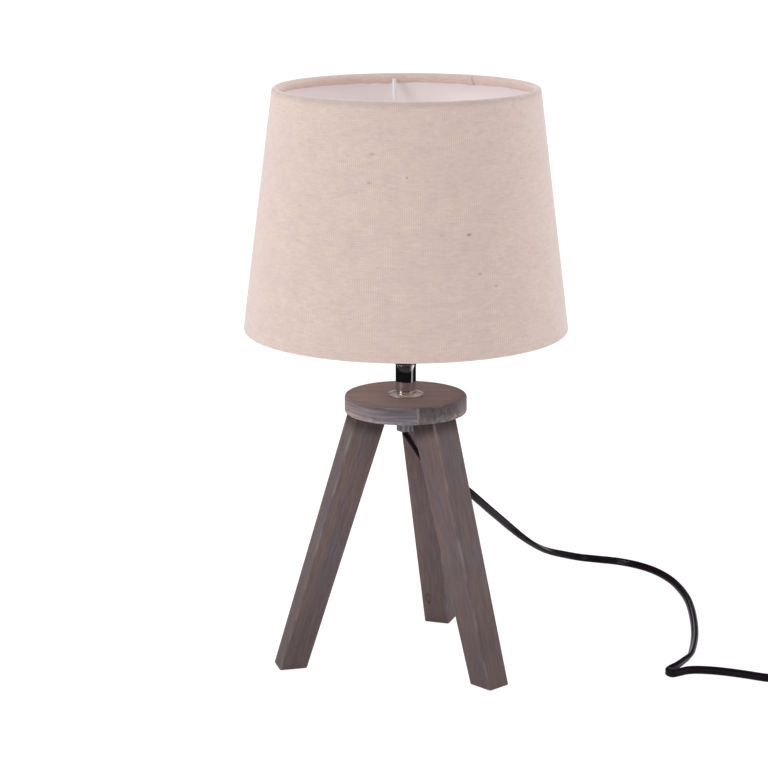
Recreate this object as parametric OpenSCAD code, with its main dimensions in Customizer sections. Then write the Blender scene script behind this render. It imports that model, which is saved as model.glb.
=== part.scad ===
// Tripod table lamp: a tapered linen shade over a round wooden top, three splayed
// square legs, an E14 lampholder with its lamp, and a cord with switch and plug.
// Millimetres, +Z up; the lamp's axis is the Z axis and the floor is z = 0.

/* [Shade] */
// Outer diameter of the shade at its lower rim
shade_bottom_d = 222; // [190:1:260]
// Outer diameter of the shade at its upper rim
shade_top_d = 180; // [140:1:200]
// Height of the shade from rim to rim
shade_h = 165.5; // [140:0.5:200]
// Thickness of the linen with its glue
fabric_t = 0.7; // [0.5:0.1:1.2]
// Thickness of the stiff white liner
liner_t = 0.35; // [0.25:0.05:0.5]
// Diameter of the wire of the rim rings and the arms
shade_wire_d = 3; // [2:0.2:4]
// Height of the fitter ring above the lower rim
fitter_height = 26.2; // [15:0.1:45]
// Width of the flat band of the fitter ring
fitter_band = 4.5; // [3.5:0.5:8]
// Thickness of the fitter ring
fitter_t = 1.6; // [1:0.1:2.5]

/* [Stand] */
// Height of the wooden top's upper face above the floor
stand_h = 190; // [150:1:240]
// Diameter of the round wooden top
disc_d = 84; // [78:1:110]
// Thickness of the round wooden top
disc_t = 12; // [11:0.5:20]
// Rounding of the wooden top's two edges
disc_edge_r = 1.5; // [1:0.5:4]
// Width of a square leg across its flats at the wooden top
leg_top_w = 21.7; // [19:0.1:23]
// Width of a square leg across its flats at the foot
leg_foot_w = 18.4; // [17:0.1:19]
// Ease of a leg's long edges
leg_edge = 1.2; // [0.5:0.1:3]
// Lean of a leg away from the vertical, in degrees
leg_lean = 17.5; // [13:0.1:20]
// Distance from the wooden top's rim to a leg's outer face
leg_inset = 3.4; // [2.5:0.1:5]
// Diameter of a foot pad
pad_d = 12; // [10:0.5:16]
// Thickness of a foot pad
pad_t = 1; // [1:0.5:4]

/* [Leg fixings] */
// Diameter of a hanger bolt
bolt_d = 6; // [5:0.5:7]
// Depth of a hanger bolt in its leg
bolt_in_leg = 16; // [12:1:18]
// Distance of a bolt outwards from its leg's centre
bolt_out = 4; // [3.5:0.1:4.5]
// Wall of a threaded insert round its bolt
insert_wall = 1.7; // [1.2:0.1:2]
// Wood left above a threaded insert
insert_skin = 3; // [2:0.5:4]
// Diameter of a locating dowel
dowel_d = 4; // [3:0.5:4]
// Length of a locating dowel
dowel_len = 13; // [10:1:15]
// Distance of a dowel inwards from its leg's centre
dowel_in = 4.5; // [4:0.1:5]

/* [Stem] */
// Outer diameter of the hollow threaded rod
rod_d = 10; // [9:0.5:10]
// Bore of the hollow threaded rod
rod_bore = 7; // [6.6:0.1:7.5]
// Outer diameter of the chromed stem tube
tube_d = 14; // [12.5:0.5:18]
// Wall of the stem tube
tube_wall = 1; // [0.6:0.1:1.2]
// Height of the stem tube above the wooden top
tube_h = 21.5; // [15:0.5:60]
// Diameter of the dished cover plate at the tube's foot
flange_d = 25; // [20:1:34]
// Rise of the cover plate's hub
flange_h = 1.8; // [1.2:0.1:3]
// Diameter of the ring nut on top of the tube
collar_d = 15.6; // [14.5:0.1:20]
// Height of the ring nut
collar_h = 2.5; // [2:0.5:5]
// Diameter of the washer under the wooden top
washer_d = 24; // [20:1:28]
// Thickness of the washer
washer_t = 1.5; // [1:0.1:2.5]
// Width of the hexagon nut across its flats
nut_flats = 14; // [13:0.5:17]
// Height of the hexagon nut
nut_h = 4.5; // [3:0.5:6]
// Diameter of the cord grip below the nut
grip_d = 12.4; // [12:0.1:15]
// Height of the cord grip
grip_h = 7.5; // [6.5:0.5:10]
// Length of thread of the rod in the cord grip
grip_thread = 4; // [3:0.5:4.5]

/* [Lampholder] */
// Outer diameter of the lampholder
holder_d = 28; // [27:0.5:30]
// Wall of the lampholder
holder_wall = 1.6; // [1.2:0.1:2]
// Height of the lampholder's base cup
base_h = 24; // [22:1:30]
// Height of the lampholder's upper part
body_h = 40; // [38:1:50]
// Depth of the thread for the rod in the base
base_thread = 8; // [5:0.5:10]
// Height of the shade seat above the joint of the two parts
seat_h = 24; // [20:1:28]
// Width of the shade seat round the lampholder
seat_w = 2.5; // [1.5:0.1:4]
// Thickness of the contact carrier
carrier_t = 9; // [6:0.5:10]
// Outer diameter of the shade ring
ring_d = 36; // [34:0.5:42]
// Height of the shade ring
ring_h = 6; // [4:0.5:9]

/* [Bulb] */
// Diameter of the opal globe
bulb_d = 45; // [40:1:60]
// Height of the bulb above its cap
bulb_h = 54.4; // [50:0.2:80]
// Outer diameter of the E14 screw cap
cap_d = 13.9; // [13.8:0.01:13.95]
// Length of the screw cap
cap_len = 24.1; // [22:0.1:25]
// Height of the centre contact and its glass under the cap
tip_h = 2.5; // [2:0.1:3]

/* [Cord] */
// Width of the flat twin cord
cord_w = 5.8; // [5.2:0.1:6.2]
// Thickness of the flat twin cord
cord_t = 3.6; // [3.2:0.1:3.8]
// Turns of the stored coil, half of them in each layer
coil_turns = 4; // [2:2:8]
// Radius of the innermost turn
coil_in_r = 27; // [24:1:32]
// Gap between neighbouring turns
coil_gap = 0.5; // [0.45:0.05:1]
// Width of the strap round the coil
tie_w = 8; // [5:1:12]
// Thickness of the strap
tie_t = 0.6; // [0.4:0.1:1]

/* [Switch] */
// Length of the inline switch
switch_len = 58; // [56:1:62]
// Width of the inline switch
switch_w = 23; // [22:1:28]
// Height of the inline switch
switch_h = 16; // [16:0.5:18]
// Wall of the switch housing
switch_wall = 1.8; // [1.4:0.1:2]
// Length of the rocker
rocker_len = 12.4; // [10:0.2:13]
// Width of the rocker
rocker_w = 10; // [8:0.5:11]
// Tilt of the rocker to each side, in degrees
rocker_tilt = 9; // [6:1:10]

/* [Plug] */
// Width of the plug body
plug_w = 35.3; // [34:0.1:36]
// Height of the plug body
plug_h = 13.7; // [13:0.1:15]
// Length of the plug body
plug_len = 34; // [30:1:40]
// Length of the plug's tapered boot
boot_len = 24; // [20:1:40]
// Diameter of a pin
pin_d = 4; // [3.9:0.05:4.1]
// Length of a pin outside the body
pin_len = 19; // [18:0.5:20]
// Distance between the two pins
pin_gap = 18.6; // [18:0.1:19]
// Length of the insulating sleeve on a pin
sleeve_len = 10; // [8:0.5:11]

/* [Hidden] */
$fn = 96;

// Clearances, each named after what it keeps apart
fit_gap = 0.05;
slip_gap = 0.3;
turn_gap = 0.06;
liner_gap = 0.15;
over = 1;

// Directions of the legs, in degrees from +X: the rear one, the left one, the right one
leg_turns = [71.7, 195.8, 313.8];

// Heights of the stand, from the floor up
disc_bottom = stand_h - disc_t;
leg_shift = tan(leg_lean);
leg_half = leg_top_w / 2 / cos(leg_lean);
leg_top_r = disc_d / 2 - leg_inset - leg_half;
leg_foot_r = leg_top_r + (disc_bottom - pad_t) * leg_shift;
leg_len = (disc_bottom - pad_t) / cos(leg_lean);
bolt_r = leg_top_r + bolt_out;
insert_d = bolt_d + 2 * insert_wall;
insert_len = disc_t - insert_skin;
dowel_r = leg_top_r - dowel_in;
dowel_up = dowel_len / 2;

// Heights of the stack on the threaded rod
washer_bottom = disc_bottom - washer_t;
nut_bottom = washer_bottom - nut_h;
grip_bottom = nut_bottom - grip_h;
rod_bottom = nut_bottom - grip_thread;
tube_top = stand_h + tube_h;
base_bottom = tube_top + collar_h;
boss_h = 2.5;
boss_d = 14;
rod_top = base_bottom + base_thread;
split_z = rod_top + 1.5;

// Heights of the lampholder and the bulb, the bulb hanging from the holder's mouth
body_bottom = base_bottom + base_h;
holder_top = body_bottom + body_h;
seat_z = body_bottom + seat_h;
seat_t = 2.1;
sleeve_r = cap_d / 2 + slip_gap;
sleeve_wall = 1.5;
mouth_t = 2;
neck_bottom = holder_top + 0.6;
cap_bottom = neck_bottom - cap_len;
bulb_bottom = cap_bottom - tip_h;
bulb_top = neck_bottom + bulb_h;
contact_rise = 3;
carrier_top = bulb_bottom - contact_rise;
carrier_bottom = carrier_top - carrier_t;
cavity_r = holder_d / 2 - holder_wall;
sleeve_bottom = holder_top - 15.5;

// Heights and radii of the shade
fitter_z = seat_z + fit_gap;
shade_bottom = fitter_z - fitter_height;
shade_top = shade_bottom + shade_h;
shade_slope = (shade_bottom_d - shade_top_d) / 2 / shade_h;
slope_len = sqrt(1 + shade_slope * shade_slope);
hem_r = shade_wire_d / 2 + fit_gap + fabric_t;
hem_in = hem_r * slope_len;
fitter_in_r = holder_d / 2 + slip_gap;
fitter_out_r = fitter_in_r + fitter_band;
ring_bottom = fitter_z + fitter_t + fit_gap;
arm_foot_z = fitter_z + fitter_t / 2;

// Directions of the shade's arms
arm_turns = [95.7, 215.7, 335.7];

// Section of the cord: [across its width, through its thickness], as shares
oval = [[1, 0], [0.8, 0.75], [0.3, 1], [-0.3, 1], [-0.8, 0.75], [-1, 0], [-0.8, -0.75],
    [-0.3, -1], [0.3, -1], [0.8, -0.75]];
cord_oval = [for (p = oval) [p[0] * cord_w / 2, p[1] * cord_t / 2]];

// Places of the switch, the coil and the plug, on the floor beside the lamp
switch_pos = [276, -56, 0.05];
slot_z = 7.5;
coil_centre = [331, 16];
tie_turn = 180;
coil_pitch = cord_t + coil_gap;
coil_layer = cord_w + coil_gap;
coil_out_r = coil_in_r + coil_pitch * coil_turns / 2;
coil_low = cord_w / 2 + tie_t + 0.1;
coil_high = coil_low + coil_layer;
coil_steps = 24;
coil_mouth_x = coil_centre[0] + coil_out_r;
plug_y = 46;
plug_axis_z = plug_h / 2 + 0.05;

// Route of the cord from the lamp to the switch: [x, y, z, roll of the flat in degrees]
run_points = [[0, 0, 164.5, 0], [0, 0, 162, 0], [2, 0.5, 158.5, 0], [5, 2, 153.5, 0],
    [9, 5, 146, 0], [14, 10, 138.5, 5], [20, 18, 130.5, 20], [28, 32, 121, 45], [36, 48, 113, 65],
    [44, 65, 103.5, 75], [53, 83, 91, 78], [62, 102.1, 78, 72], [71, 122, 65, 55],
    [80, 140.2, 52.5, 25], [90, 156.8, 40, 15], [101, 177.8, 27, 25], [112, 194.8, 17.5, 45],
    [125, 208.6, 10.5, 60], [138, 217.3, 5.5, 68], [152, 220.3, 2.86, 70], [168, 215.5, 2.83, 66],
    [181, 207.1, 2.78, 60], [192, 195.6, 2.7, 52], [200, 181.7, 2.61, 45], [206, 165.5, 2.51, 38],
    [210, 146, 2.5, 34], [212.5, 124, 2.5, 32], [212.9, 102, 2.5, 32], [212.1, 80, 2.5, 32],
    [210.6, 58, 2.5, 32], [208.2, 36, 2.5, 34], [204.6, 14, 2.57, 42], [200.5, -4, 2.73, 55],
    [194, -17, 2.88, 72], [188, -27.5, 3, 85], [183, -34, 3, 90], [181, -39, 3, 90],
    [184, -42.5, 3, 90], [189, -40, 3, 90], [196, -36, 3, 90], [206, -35.5, 3, 90],
    [219, -38.5, 3, 90], [233, -44, 3, 90], [247, -50.5, 3, 85], [258, -54.5, 3.6, 60],
    [267, -56, 5.4, 25], [276, -56, 7.55, 0], [284, -56, 7.55, 0]];

// Route of the cord from the switch to the coil, which it meets square to its end
link_points = [[switch_pos[0] + switch_len - 8, -56, 7.55, 0],
    [switch_pos[0] + switch_len, -56, 7.55, 0], [343, -54.5, 5.6, 25], [352, -50, 4.2, 60],
    [359, -43, 3.8, 80], [364, -33, coil_low, 90], [coil_mouth_x - 0.2, -20, coil_low, 90],
    [coil_mouth_x, -6, coil_low, 90], [coil_mouth_x, coil_centre[1] - cord_w, coil_low, 90]];

// Route of the cord from the coil to the plug
tail_start = coil_centre[1] + cord_w;
tail_points = [[coil_mouth_x, tail_start, coil_high, 90],
    [coil_mouth_x, tail_start + 4, coil_high, 88],
    [coil_mouth_x, (tail_start + plug_y) / 2, (coil_high + plug_axis_z) / 2, 45],
    [coil_mouth_x, plug_y - 4, plug_axis_z, 2], [coil_mouth_x, plug_y, plug_axis_z, 0]];

// Vectors along a route, and the ring of points round one of its places
function pick(list, i) = list[max(0, min(len(list) - 1, i))];
function xyz(p) = [p[0], p[1], p[2]];
function unit(v) = v / norm(v);
function ahead_at(list, i) = unit(xyz(pick(list, i + 1)) - xyz(pick(list, i - 1)));
function level_side(list, i) = let (a = pick(list, i - 1), b = pick(list, i + 2))
    unit([a[1] - b[1], b[0] - a[0], 0]);
function side_at(list, i) = let (ahead = ahead_at(list, i), side = level_side(list, i))
    unit(side - (side * ahead) * ahead);
function section(place, side, up, shape) = [for (p = shape) place + side * p[0] + up * p[1]];

// One closed tube from rings of equal size
module tube_of_rings(rings) {
    sides = len(rings[0]);
    last = len(rings) - 1;
    walls = [for (i = [0 : last - 1], k = [0 : sides - 1])
        let (a = i * sides + k, b = i * sides + (k + 1) % sides)
        each [[a, b, b + sides], [a, b + sides, a + sides]]];
    first_cap = [for (k = [sides - 1 : -1 : 0]) k];
    last_cap = [for (k = [0 : sides - 1]) last * sides + k];
    polyhedron([for (r = rings) each r], concat(walls, [first_cap, last_cap]), convexity = 10);
}

// A free stretch of flat cord along hand-chosen points
module cord_along(list) {
    rings = [for (i = [0 : len(list) - 1])
        let (side = side_at(list, i), up = cross(ahead_at(list, i), side), roll = list[i][3])
        section(xyz(list[i]), cos(roll) * side + sin(roll) * up,
            cos(roll) * up - sin(roll) * side, cord_oval)];
    color("#1c1b1d") tube_of_rings(rings);
}

// Plain shapes that several pieces share
module ring(outer_r, inner_r, height) {
    difference() {
        cylinder(r = outer_r, h = height);
        translate([0, 0, -over]) cylinder(r = inner_r, h = height + 2 * over);
    }
}

module rod_between(a, b, d) {
    v = b - a;
    translate(a) rotate([0, acos(v[2] / norm(v)), atan2(v[1], v[0])]) cylinder(d = d, h = norm(v));
}

module at_leg(i) {
    rotate([0, 0, leg_turns[i]]) children();
}

// Wooden top: a round board with rounded edges, bored for the rod and the leg fixings
module top_disc() {
    color("#6f625b") difference() {
        rotate_extrude() {
            translate([0, disc_bottom]) square([disc_d / 2 - disc_edge_r, disc_t]);
            translate([0, disc_bottom + disc_edge_r])
                square([disc_d / 2, disc_t - 2 * disc_edge_r]);
            for (z = [disc_bottom + disc_edge_r, stand_h - disc_edge_r])
                translate([disc_d / 2 - disc_edge_r, z]) circle(r = disc_edge_r);
        }
        translate([0, 0, disc_bottom - over])
            cylinder(d = rod_d + 2 * slip_gap, h = disc_t + 2 * over);
        for (i = [0 : 2]) at_leg(i) {
            translate([bolt_r, 0, disc_bottom - over])
                cylinder(d = insert_d + 2 * fit_gap, h = insert_len + fit_gap + over);
            translate([dowel_r, 0, disc_bottom - over])
                cylinder(d = dowel_d + 2 * fit_gap, h = dowel_up + fit_gap + over);
        }
    }
}

// Half the width of a leg, some way down from the wooden top along the leg
function leg_half_w(down) = (leg_top_w + (leg_foot_w - leg_top_w) * down / leg_len) / 2;

// Slab between two faces of the tapered leg, which lie some way out from its middle
module leg_slab(out_at_top, out_at_end) {
    rotate([90, 0, 0]) linear_extrude(height = 3 * leg_top_w, center = true)
        polygon([[-out_at_top, -leg_top_w], [out_at_top, -leg_top_w],
            [out_at_end, leg_len + leg_top_w], [-out_at_end, leg_len + leg_top_w]]);
}

// Leg: a tapered square bar with eased edges, cut level at the wooden top and at the pad
module leg(i) {
    ends = [leg_half_w(-leg_top_w), leg_half_w(leg_len + leg_top_w)];
    eased = [for (e = ends) (e - leg_edge) * sqrt(2) + leg_edge];
    color("#66605e") at_leg(i) difference() {
        intersection() {
            translate([leg_top_r, 0, disc_bottom]) rotate([0, 180 - leg_lean, 0]) intersection() {
                leg_slab(ends[0], ends[1]);
                rotate([0, 0, 90]) leg_slab(ends[0], ends[1]);
                rotate([0, 0, 45]) leg_slab(eased[0], eased[1]);
                rotate([0, 0, 135]) leg_slab(eased[0], eased[1]);
            }
            translate([-leg_top_w, -leg_top_w, pad_t])
                cube([leg_foot_r + 3 * leg_top_w, 2 * leg_top_w, disc_bottom - pad_t]);
        }
        translate([bolt_r, 0, disc_bottom - bolt_in_leg - fit_gap])
            cylinder(d = bolt_d + 2 * fit_gap, h = bolt_in_leg + over);
        translate([dowel_r, 0, disc_bottom - dowel_len + dowel_up - fit_gap])
            cylinder(d = dowel_d + 2 * fit_gap, h = dowel_len);
    }
}

module leg_rear() {
    leg(0);
}

module leg_left() {
    leg(1);
}

module leg_right() {
    leg(2);
}

// Foot pad: a round non-slip disc under each leg
module foot_pad(i) {
    color("#141414") at_leg(i) translate([leg_foot_r, 0, 0]) cylinder(d = pad_d, h = pad_t);
}

module foot_pad_rear() {
    foot_pad(0);
}

module foot_pad_left() {
    foot_pad(1);
}

module foot_pad_right() {
    foot_pad(2);
}

// Leg fixings: one hanger bolt in a threaded insert, and one dowel, for each leg
module leg_bolts() {
    color("#b9bcc2") for (i = [0 : 2]) at_leg(i) translate([bolt_r, 0, disc_bottom - bolt_in_leg])
        cylinder(d = bolt_d, h = bolt_in_leg + insert_len - 1);
}

module leg_inserts() {
    color("#c8a951") for (i = [0 : 2]) at_leg(i) translate([bolt_r, 0, disc_bottom])
        ring(insert_d / 2, bolt_d / 2 + fit_gap, insert_len);
}

module leg_dowels() {
    color("#d9c39a") for (i = [0 : 2]) at_leg(i)
        translate([dowel_r, 0, disc_bottom - dowel_len + dowel_up])
        cylinder(d = dowel_d, h = dowel_len);
}

// Stack on the hollow rod, from the cord grip up to the ring nut
module bottom_washer() {
    color("#c3c6cb") translate([0, 0, washer_bottom])
        ring(washer_d / 2, rod_d / 2 + slip_gap, washer_t);
}

module hex_nut() {
    color("#c3c6cb") translate([0, 0, nut_bottom]) difference() {
        cylinder(d = nut_flats / cos(30), h = nut_h, $fn = 6);
        translate([0, 0, -over]) cylinder(r = rod_d / 2 + fit_gap, h = nut_h + 2 * over);
    }
}

module cord_grip() {
    notches = 12;
    color("#9ea1a6") translate([0, 0, grip_bottom]) difference() {
        cylinder(d = grip_d, h = grip_h);
        translate([0, 0, grip_h - grip_thread])
            cylinder(r = rod_d / 2 + fit_gap, h = grip_thread + over);
        translate([0, 0, -over]) cylinder(d = cord_w + 2 * fit_gap, h = grip_h);
        for (i = [0 : notches - 1]) rotate([0, 0, (i + 0.5) * 360 / notches])
            translate([grip_d / 2 + 0.35, 0, -over]) cylinder(d = 1.6, h = 4 + over);
    }
}

module threaded_rod() {
    color("#b9bcc2") translate([0, 0, rod_bottom])
        ring(rod_d / 2, rod_bore / 2, rod_top - rod_bottom);
}

module stem_flange() {
    hub_r = tube_d / 2 + fit_gap;
    color("#d5d8dc") translate([0, 0, stand_h]) rotate_extrude()
        polygon([[hub_r, 0], [flange_d / 2, 0], [flange_d / 2, 0.5], [flange_d / 2 - 0.4, 0.8],
            [hub_r + 1.2, flange_h], [hub_r, flange_h]]);
}

module stem_tube() {
    color("#d5d8dc") translate([0, 0, stand_h])
        ring(tube_d / 2, tube_d / 2 - tube_wall, tube_h);
}

module stem_collar() {
    in_r = rod_d / 2 + fit_gap;
    out_r = collar_d / 2;
    color("#d5d8dc") translate([0, 0, tube_top]) rotate_extrude()
        polygon([[in_r, 0], [out_r - 0.3, 0], [out_r, 0.3], [out_r, collar_h - 0.3],
            [out_r - 0.3, collar_h], [in_r, collar_h]]);
}

// Lampholder: a base cup screwed on the rod, and an upper part with the shade seat
module holder_base() {
    floor_t = max(2.4, base_thread - boss_h);
    bore_r = rod_d / 2 + fit_gap;
    r = holder_d / 2;
    color("#f2f0ea") translate([0, 0, base_bottom]) {
        rotate_extrude() polygon([[bore_r, 0], [boss_d / 2, 0], [boss_d / 2, boss_h],
            [r - 2, boss_h], [r, boss_h + 2], [r, base_h], [cavity_r, base_h],
            [cavity_r, boss_h + 2.5], [boss_d / 2, boss_h + 2.5], [boss_d / 2, boss_h + floor_t],
            [bore_r, boss_h + floor_t]]);
        for (s = [-1, 1]) translate([0, s * (cavity_r - 2.5), boss_h + 2.5])
            cylinder(d = 4, h = carrier_bottom - base_bottom - boss_h - 2.5);
    }
}

module holder_body() {
    r = holder_d / 2;
    inner_r = sleeve_r + sleeve_wall;
    color("#f2f0ea") rotate_extrude() polygon([[cavity_r, body_bottom], [r, body_bottom],
        [r, seat_z - seat_t - 2], [r + seat_w, seat_z - seat_t], [r + seat_w, seat_z],
        [r, seat_z], [r, holder_top - 0.5], [r - 0.5, holder_top], [sleeve_r, holder_top],
        [sleeve_r, sleeve_bottom], [inner_r, sleeve_bottom], [inner_r, holder_top - mouth_t],
        [cavity_r, holder_top - mouth_t]]);
}

module contact_carrier() {
    lead_x = 5;
    color("#e9e6dc") difference() {
        translate([0, 0, carrier_bottom]) cylinder(r = cavity_r - 0.2, h = carrier_t);
        for (s = [-1, 1]) translate([s * lead_x, 0, carrier_bottom - over])
            cylinder(d = 2.6, h = 3 + over);
    }
}

module centre_contact() {
    color("#d2a94c") translate([0, 0, carrier_top]) {
        translate([3.5, -2, 0]) cube([0.5, 4, contact_rise - slip_gap]);
        translate([-2.5, -2, contact_rise - slip_gap - 0.5]) cube([6, 4, 0.5]);
    }
}

module side_contacts() {
    color("#d2a94c") for (s = [0, 180]) rotate([0, 0, s + 90])
        translate([sleeve_r + 0.1, -1.5, carrier_top])
        cube([0.4, 3, sleeve_bottom - carrier_top - 0.5]);
}

module terminals() {
    color("#c8a951") for (s = [-1, 1]) translate([s * 5, 0, 0]) difference() {
        translate([-2.5, -3, carrier_bottom - 6]) cube([5, 6, 6]);
        translate([0, 0, carrier_bottom - 6 - over]) cylinder(d = 2.6, h = 5 + over);
        translate([0, -3 - over, carrier_bottom - 3]) rotate([-90, 0, 0])
            cylinder(d = 2.1, h = 3 + over);
    }
}

module terminal_screws() {
    color("#b9bcc2") for (s = [-1, 1]) translate([s * 5, 0, carrier_bottom - 3]) {
        translate([0, -3, 0]) rotate([-90, 0, 0]) cylinder(d = 2, h = 1.6);
        translate([0, -4.2, 0]) rotate([-90, 0, 0]) cylinder(d = 3.6, h = 1.2);
    }
}

// The two insulated cores from the end of the cord to the terminals
module lamp_leads() {
    core_d = 1.9;
    start = split_z;
    finish = carrier_bottom - 6;
    round_core = [for (k = [0 : 7]) core_d / 2 * [cos(45 * k), sin(45 * k)]];
    color("#8fa3b8") for (s = [-1, 1])
        tube_of_rings([for (place = [[0, s * 1.2, start], [0, s * 1.2, start + 1.5],
            [s * 5, 0, finish - 0.5], [s * 5, 0, finish + 4]])
            section(place, [0, 1, 0], [1, 0, 0], round_core)]);
}

// Shade ring: the threaded ring that holds the shade down on its seat
module shade_ring() {
    ribs = 24;
    color("#f2f0ea") translate([0, 0, ring_bottom]) difference() {
        ring(ring_d / 2, holder_d / 2 + turn_gap, ring_h);
        for (i = [0 : ribs - 1]) rotate([0, 0, i * 360 / ribs])
            translate([ring_d / 2 + 0.4, 0, 1]) cylinder(d = 2, h = ring_h, $fn = 24);
    }
}

// Bulb: a screw cap with its glass and contact, a neck, the board and the opal globe
module bulb_cap() {
    grooves = 5;
    color("#cfd2d6") difference() {
        translate([0, 0, cap_bottom]) cylinder(d = cap_d, h = cap_len);
        for (i = [0 : grooves - 1]) translate([0, 0, cap_bottom + 3 + i * 2.8])
            rotate_extrude() translate([cap_d / 2 + 0.5, 0]) circle(r = 1);
        translate([0, 0, cap_bottom - over]) cylinder(r = cap_d / 2 - 1.4, h = cap_len - 2 + over);
    }
}

module bulb_insulator() {
    color("#1b1b20") translate([0, 0, cap_bottom]) rotate_extrude()
        polygon([[0, -tip_h + 0.7], [2.6, -tip_h + 0.7], [cap_d / 2 - 0.8, 0],
            [cap_d / 2 - 1.5, 0], [cap_d / 2 - 1.5, 1.5], [0, 1.5]]);
}

module bulb_contact() {
    color("#b9bcc2") translate([0, 0, bulb_bottom]) cylinder(r = 2.2, h = 0.7);
}

globe_r = bulb_d / 2;
globe_z = bulb_top - globe_r;
neck_top = globe_z - globe_r * 0.55;
globe_mouth_r = globe_r * sqrt(1 - 0.55 * 0.55);
neck_foot_r = cap_d / 2 + 2.2;

module bulb_neck() {
    color("#f4f4f2") difference() {
        rotate_extrude() polygon([[0, neck_bottom], [neck_foot_r, neck_bottom],
            [neck_foot_r + 0.6, neck_bottom + 1.5], [globe_mouth_r, neck_top - 2],
            [globe_mouth_r, neck_top], [0, neck_top]]);
        translate([0, 0, neck_top - 1.6]) cylinder(r = globe_mouth_r - 2, h = 1.6 + over);
    }
}

module led_board() {
    color("#e8e8e0") {
        translate([0, 0, neck_top - 1.6]) cylinder(r = globe_mouth_r - 2 - fit_gap, h = 1.2);
        for (i = [0 : 5]) rotate([0, 0, i * 60]) translate([globe_mouth_r * 0.55, 0, neck_top - 0.4])
            translate([-1.4, -1.4, 0]) cube([2.8, 2.8, 0.7]);
    }
}

module bulb_globe() {
    shell = 1.2;
    color("#fbfaf5") rotate_extrude() intersection() {
        difference() {
            translate([0, globe_z]) circle(r = globe_r);
            translate([0, globe_z]) circle(r = globe_r - shell);
        }
        translate([0, neck_top]) square([bulb_d, bulb_d]);
    }
}

// Shade: linen rolled round a wire at each rim, over a stiff liner
function shade_r(z) = shade_bottom_d / 2 - shade_slope * (z - shade_bottom);
rim_wires = [for (z = [shade_bottom + hem_r, shade_top - hem_r]) [shade_r(z) - hem_in, z]];

module shade_fabric() {
    touch = hem_r * shade_slope / slope_len;
    low = shade_bottom + hem_r + touch;
    high = shade_top - hem_r + touch;
    color("#d8c5ba") rotate_extrude() difference() {
        union() {
            polygon([for (end = [[0, low], [0, high], [fabric_t, high], [fabric_t, low]])
                [shade_r(end[1]) - end[0] * slope_len, end[1]]]);
            for (w = rim_wires) translate(w) circle(r = hem_r);
        }
        for (w = rim_wires) translate(w) circle(r = shade_wire_d / 2 + fit_gap / 2);
    }
}

module shade_liner() {
    low = shade_bottom + 2 * hem_r + slip_gap;
    high = shade_top - 2 * hem_r - slip_gap;
    outer_gap = fabric_t + liner_gap;
    inner_gap = outer_gap + liner_t;
    color("#f3eff2") rotate_extrude() polygon([for (end = [[outer_gap, low], [outer_gap, high],
        [inner_gap, high], [inner_gap, low]])
        [shade_r(end[1]) - end[0] * slope_len, end[1]]]);
}

module rim_ring(w) {
    color("#e9e9ea") rotate_extrude() translate(w) circle(d = shade_wire_d);
}

module shade_top_ring() {
    rim_ring(rim_wires[1]);
}

module shade_bottom_ring() {
    rim_ring(rim_wires[0]);
}

// Shade arm: a wire from the inside of the upper rim down to the fitter ring
module shade_arm(turn) {
    wire_r = shade_wire_d / 2;
    rim_in = rim_wires[1][0] - hem_r - fit_gap - wire_r;
    high = [rim_in, 0, rim_wires[1][1] - 1];
    low = [fitter_out_r + wire_r + fit_gap, 0, arm_foot_z];
    color("#e9e9ea") rotate([0, 0, turn]) {
        rod_between(low, high, shade_wire_d);
        translate(low) sphere(d = shade_wire_d);
        translate(high) sphere(d = shade_wire_d);
    }
}

module shade_arm_back() {
    shade_arm(arm_turns[0]);
}

module shade_arm_left() {
    shade_arm(arm_turns[1]);
}

module shade_arm_right() {
    shade_arm(arm_turns[2]);
}

module fitter_ring() {
    color("#e9e9ea") translate([0, 0, fitter_z]) ring(fitter_out_r, fitter_in_r, fitter_t);
}

// Cord inside the grip and the rod, with its flat side facing the same way as outside
module cord_inner() {
    color("#1c1b1d") translate([0, 0, grip_bottom])
        linear_extrude(height = split_z - grip_bottom)
        polygon([for (p = cord_oval) [p[1], p[0]]]);
}

module cord_run() {
    cord_along(run_points);
}

module cord_link() {
    cord_along(link_points);
}

module cord_tail() {
    cord_along(tail_points);
}

// Stored coil: one tube that spirals in on the lower layer and out again on the upper
function rise(t) = t <= 0 ? 0 : t >= 1 ? 1 : t * t * (3 - 2 * t);
function coil_r(turn) = coil_in_r + coil_pitch * abs(turn - coil_turns / 2);
function coil_z(turn) = coil_low + coil_layer * rise((turn - coil_turns / 2 + 0.25) / 0.5);
coil_hex = [[1, 0.42], [0, 1], [-1, 0.42], [-1, -0.42], [0, -1], [1, -0.42]];
coil_section = [for (p = coil_hex) [p[0] * cord_t / 2, p[1] * cord_w / 2]];
function coil_ring(turn, shift) = let (a = 360 * turn, out = [cos(a), sin(a), 0])
    section([coil_centre[0], coil_centre[1] + shift, coil_z(turn)] + coil_r(turn) * out, out,
        [0, 0, 1], coil_section);
coil_rings = concat([coil_ring(0, -cord_w)],
    [for (i = [0 : coil_steps * coil_turns]) coil_ring(i / coil_steps, 0)],
    [coil_ring(coil_turns, cord_w)]);

// Points round a ring, its corners and the middles of its sides, for measuring gaps
function rim_points(r) = [for (k = [0 : len(r) - 1]) each [r[k], (r[k] + r[(k + 1) % len(r)]) / 2]];
function ring_gap(a, b) = min([for (p = rim_points(a), q = rim_points(b)) norm(p - q)]);
function coil_gap_measured() = min([for (i = [0 : len(coil_rings) - 1 - coil_steps],
    j = [i + coil_steps - 1 : min(i + coil_steps + 1, len(coil_rings) - 1)])
    ring_gap(coil_rings[i], coil_rings[j])]);

module cord_coil() {
    echo(least_gap_of_coil_to_itself = coil_gap_measured());
    color("#1c1b1d") tube_of_rings(coil_rings);
}

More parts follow.
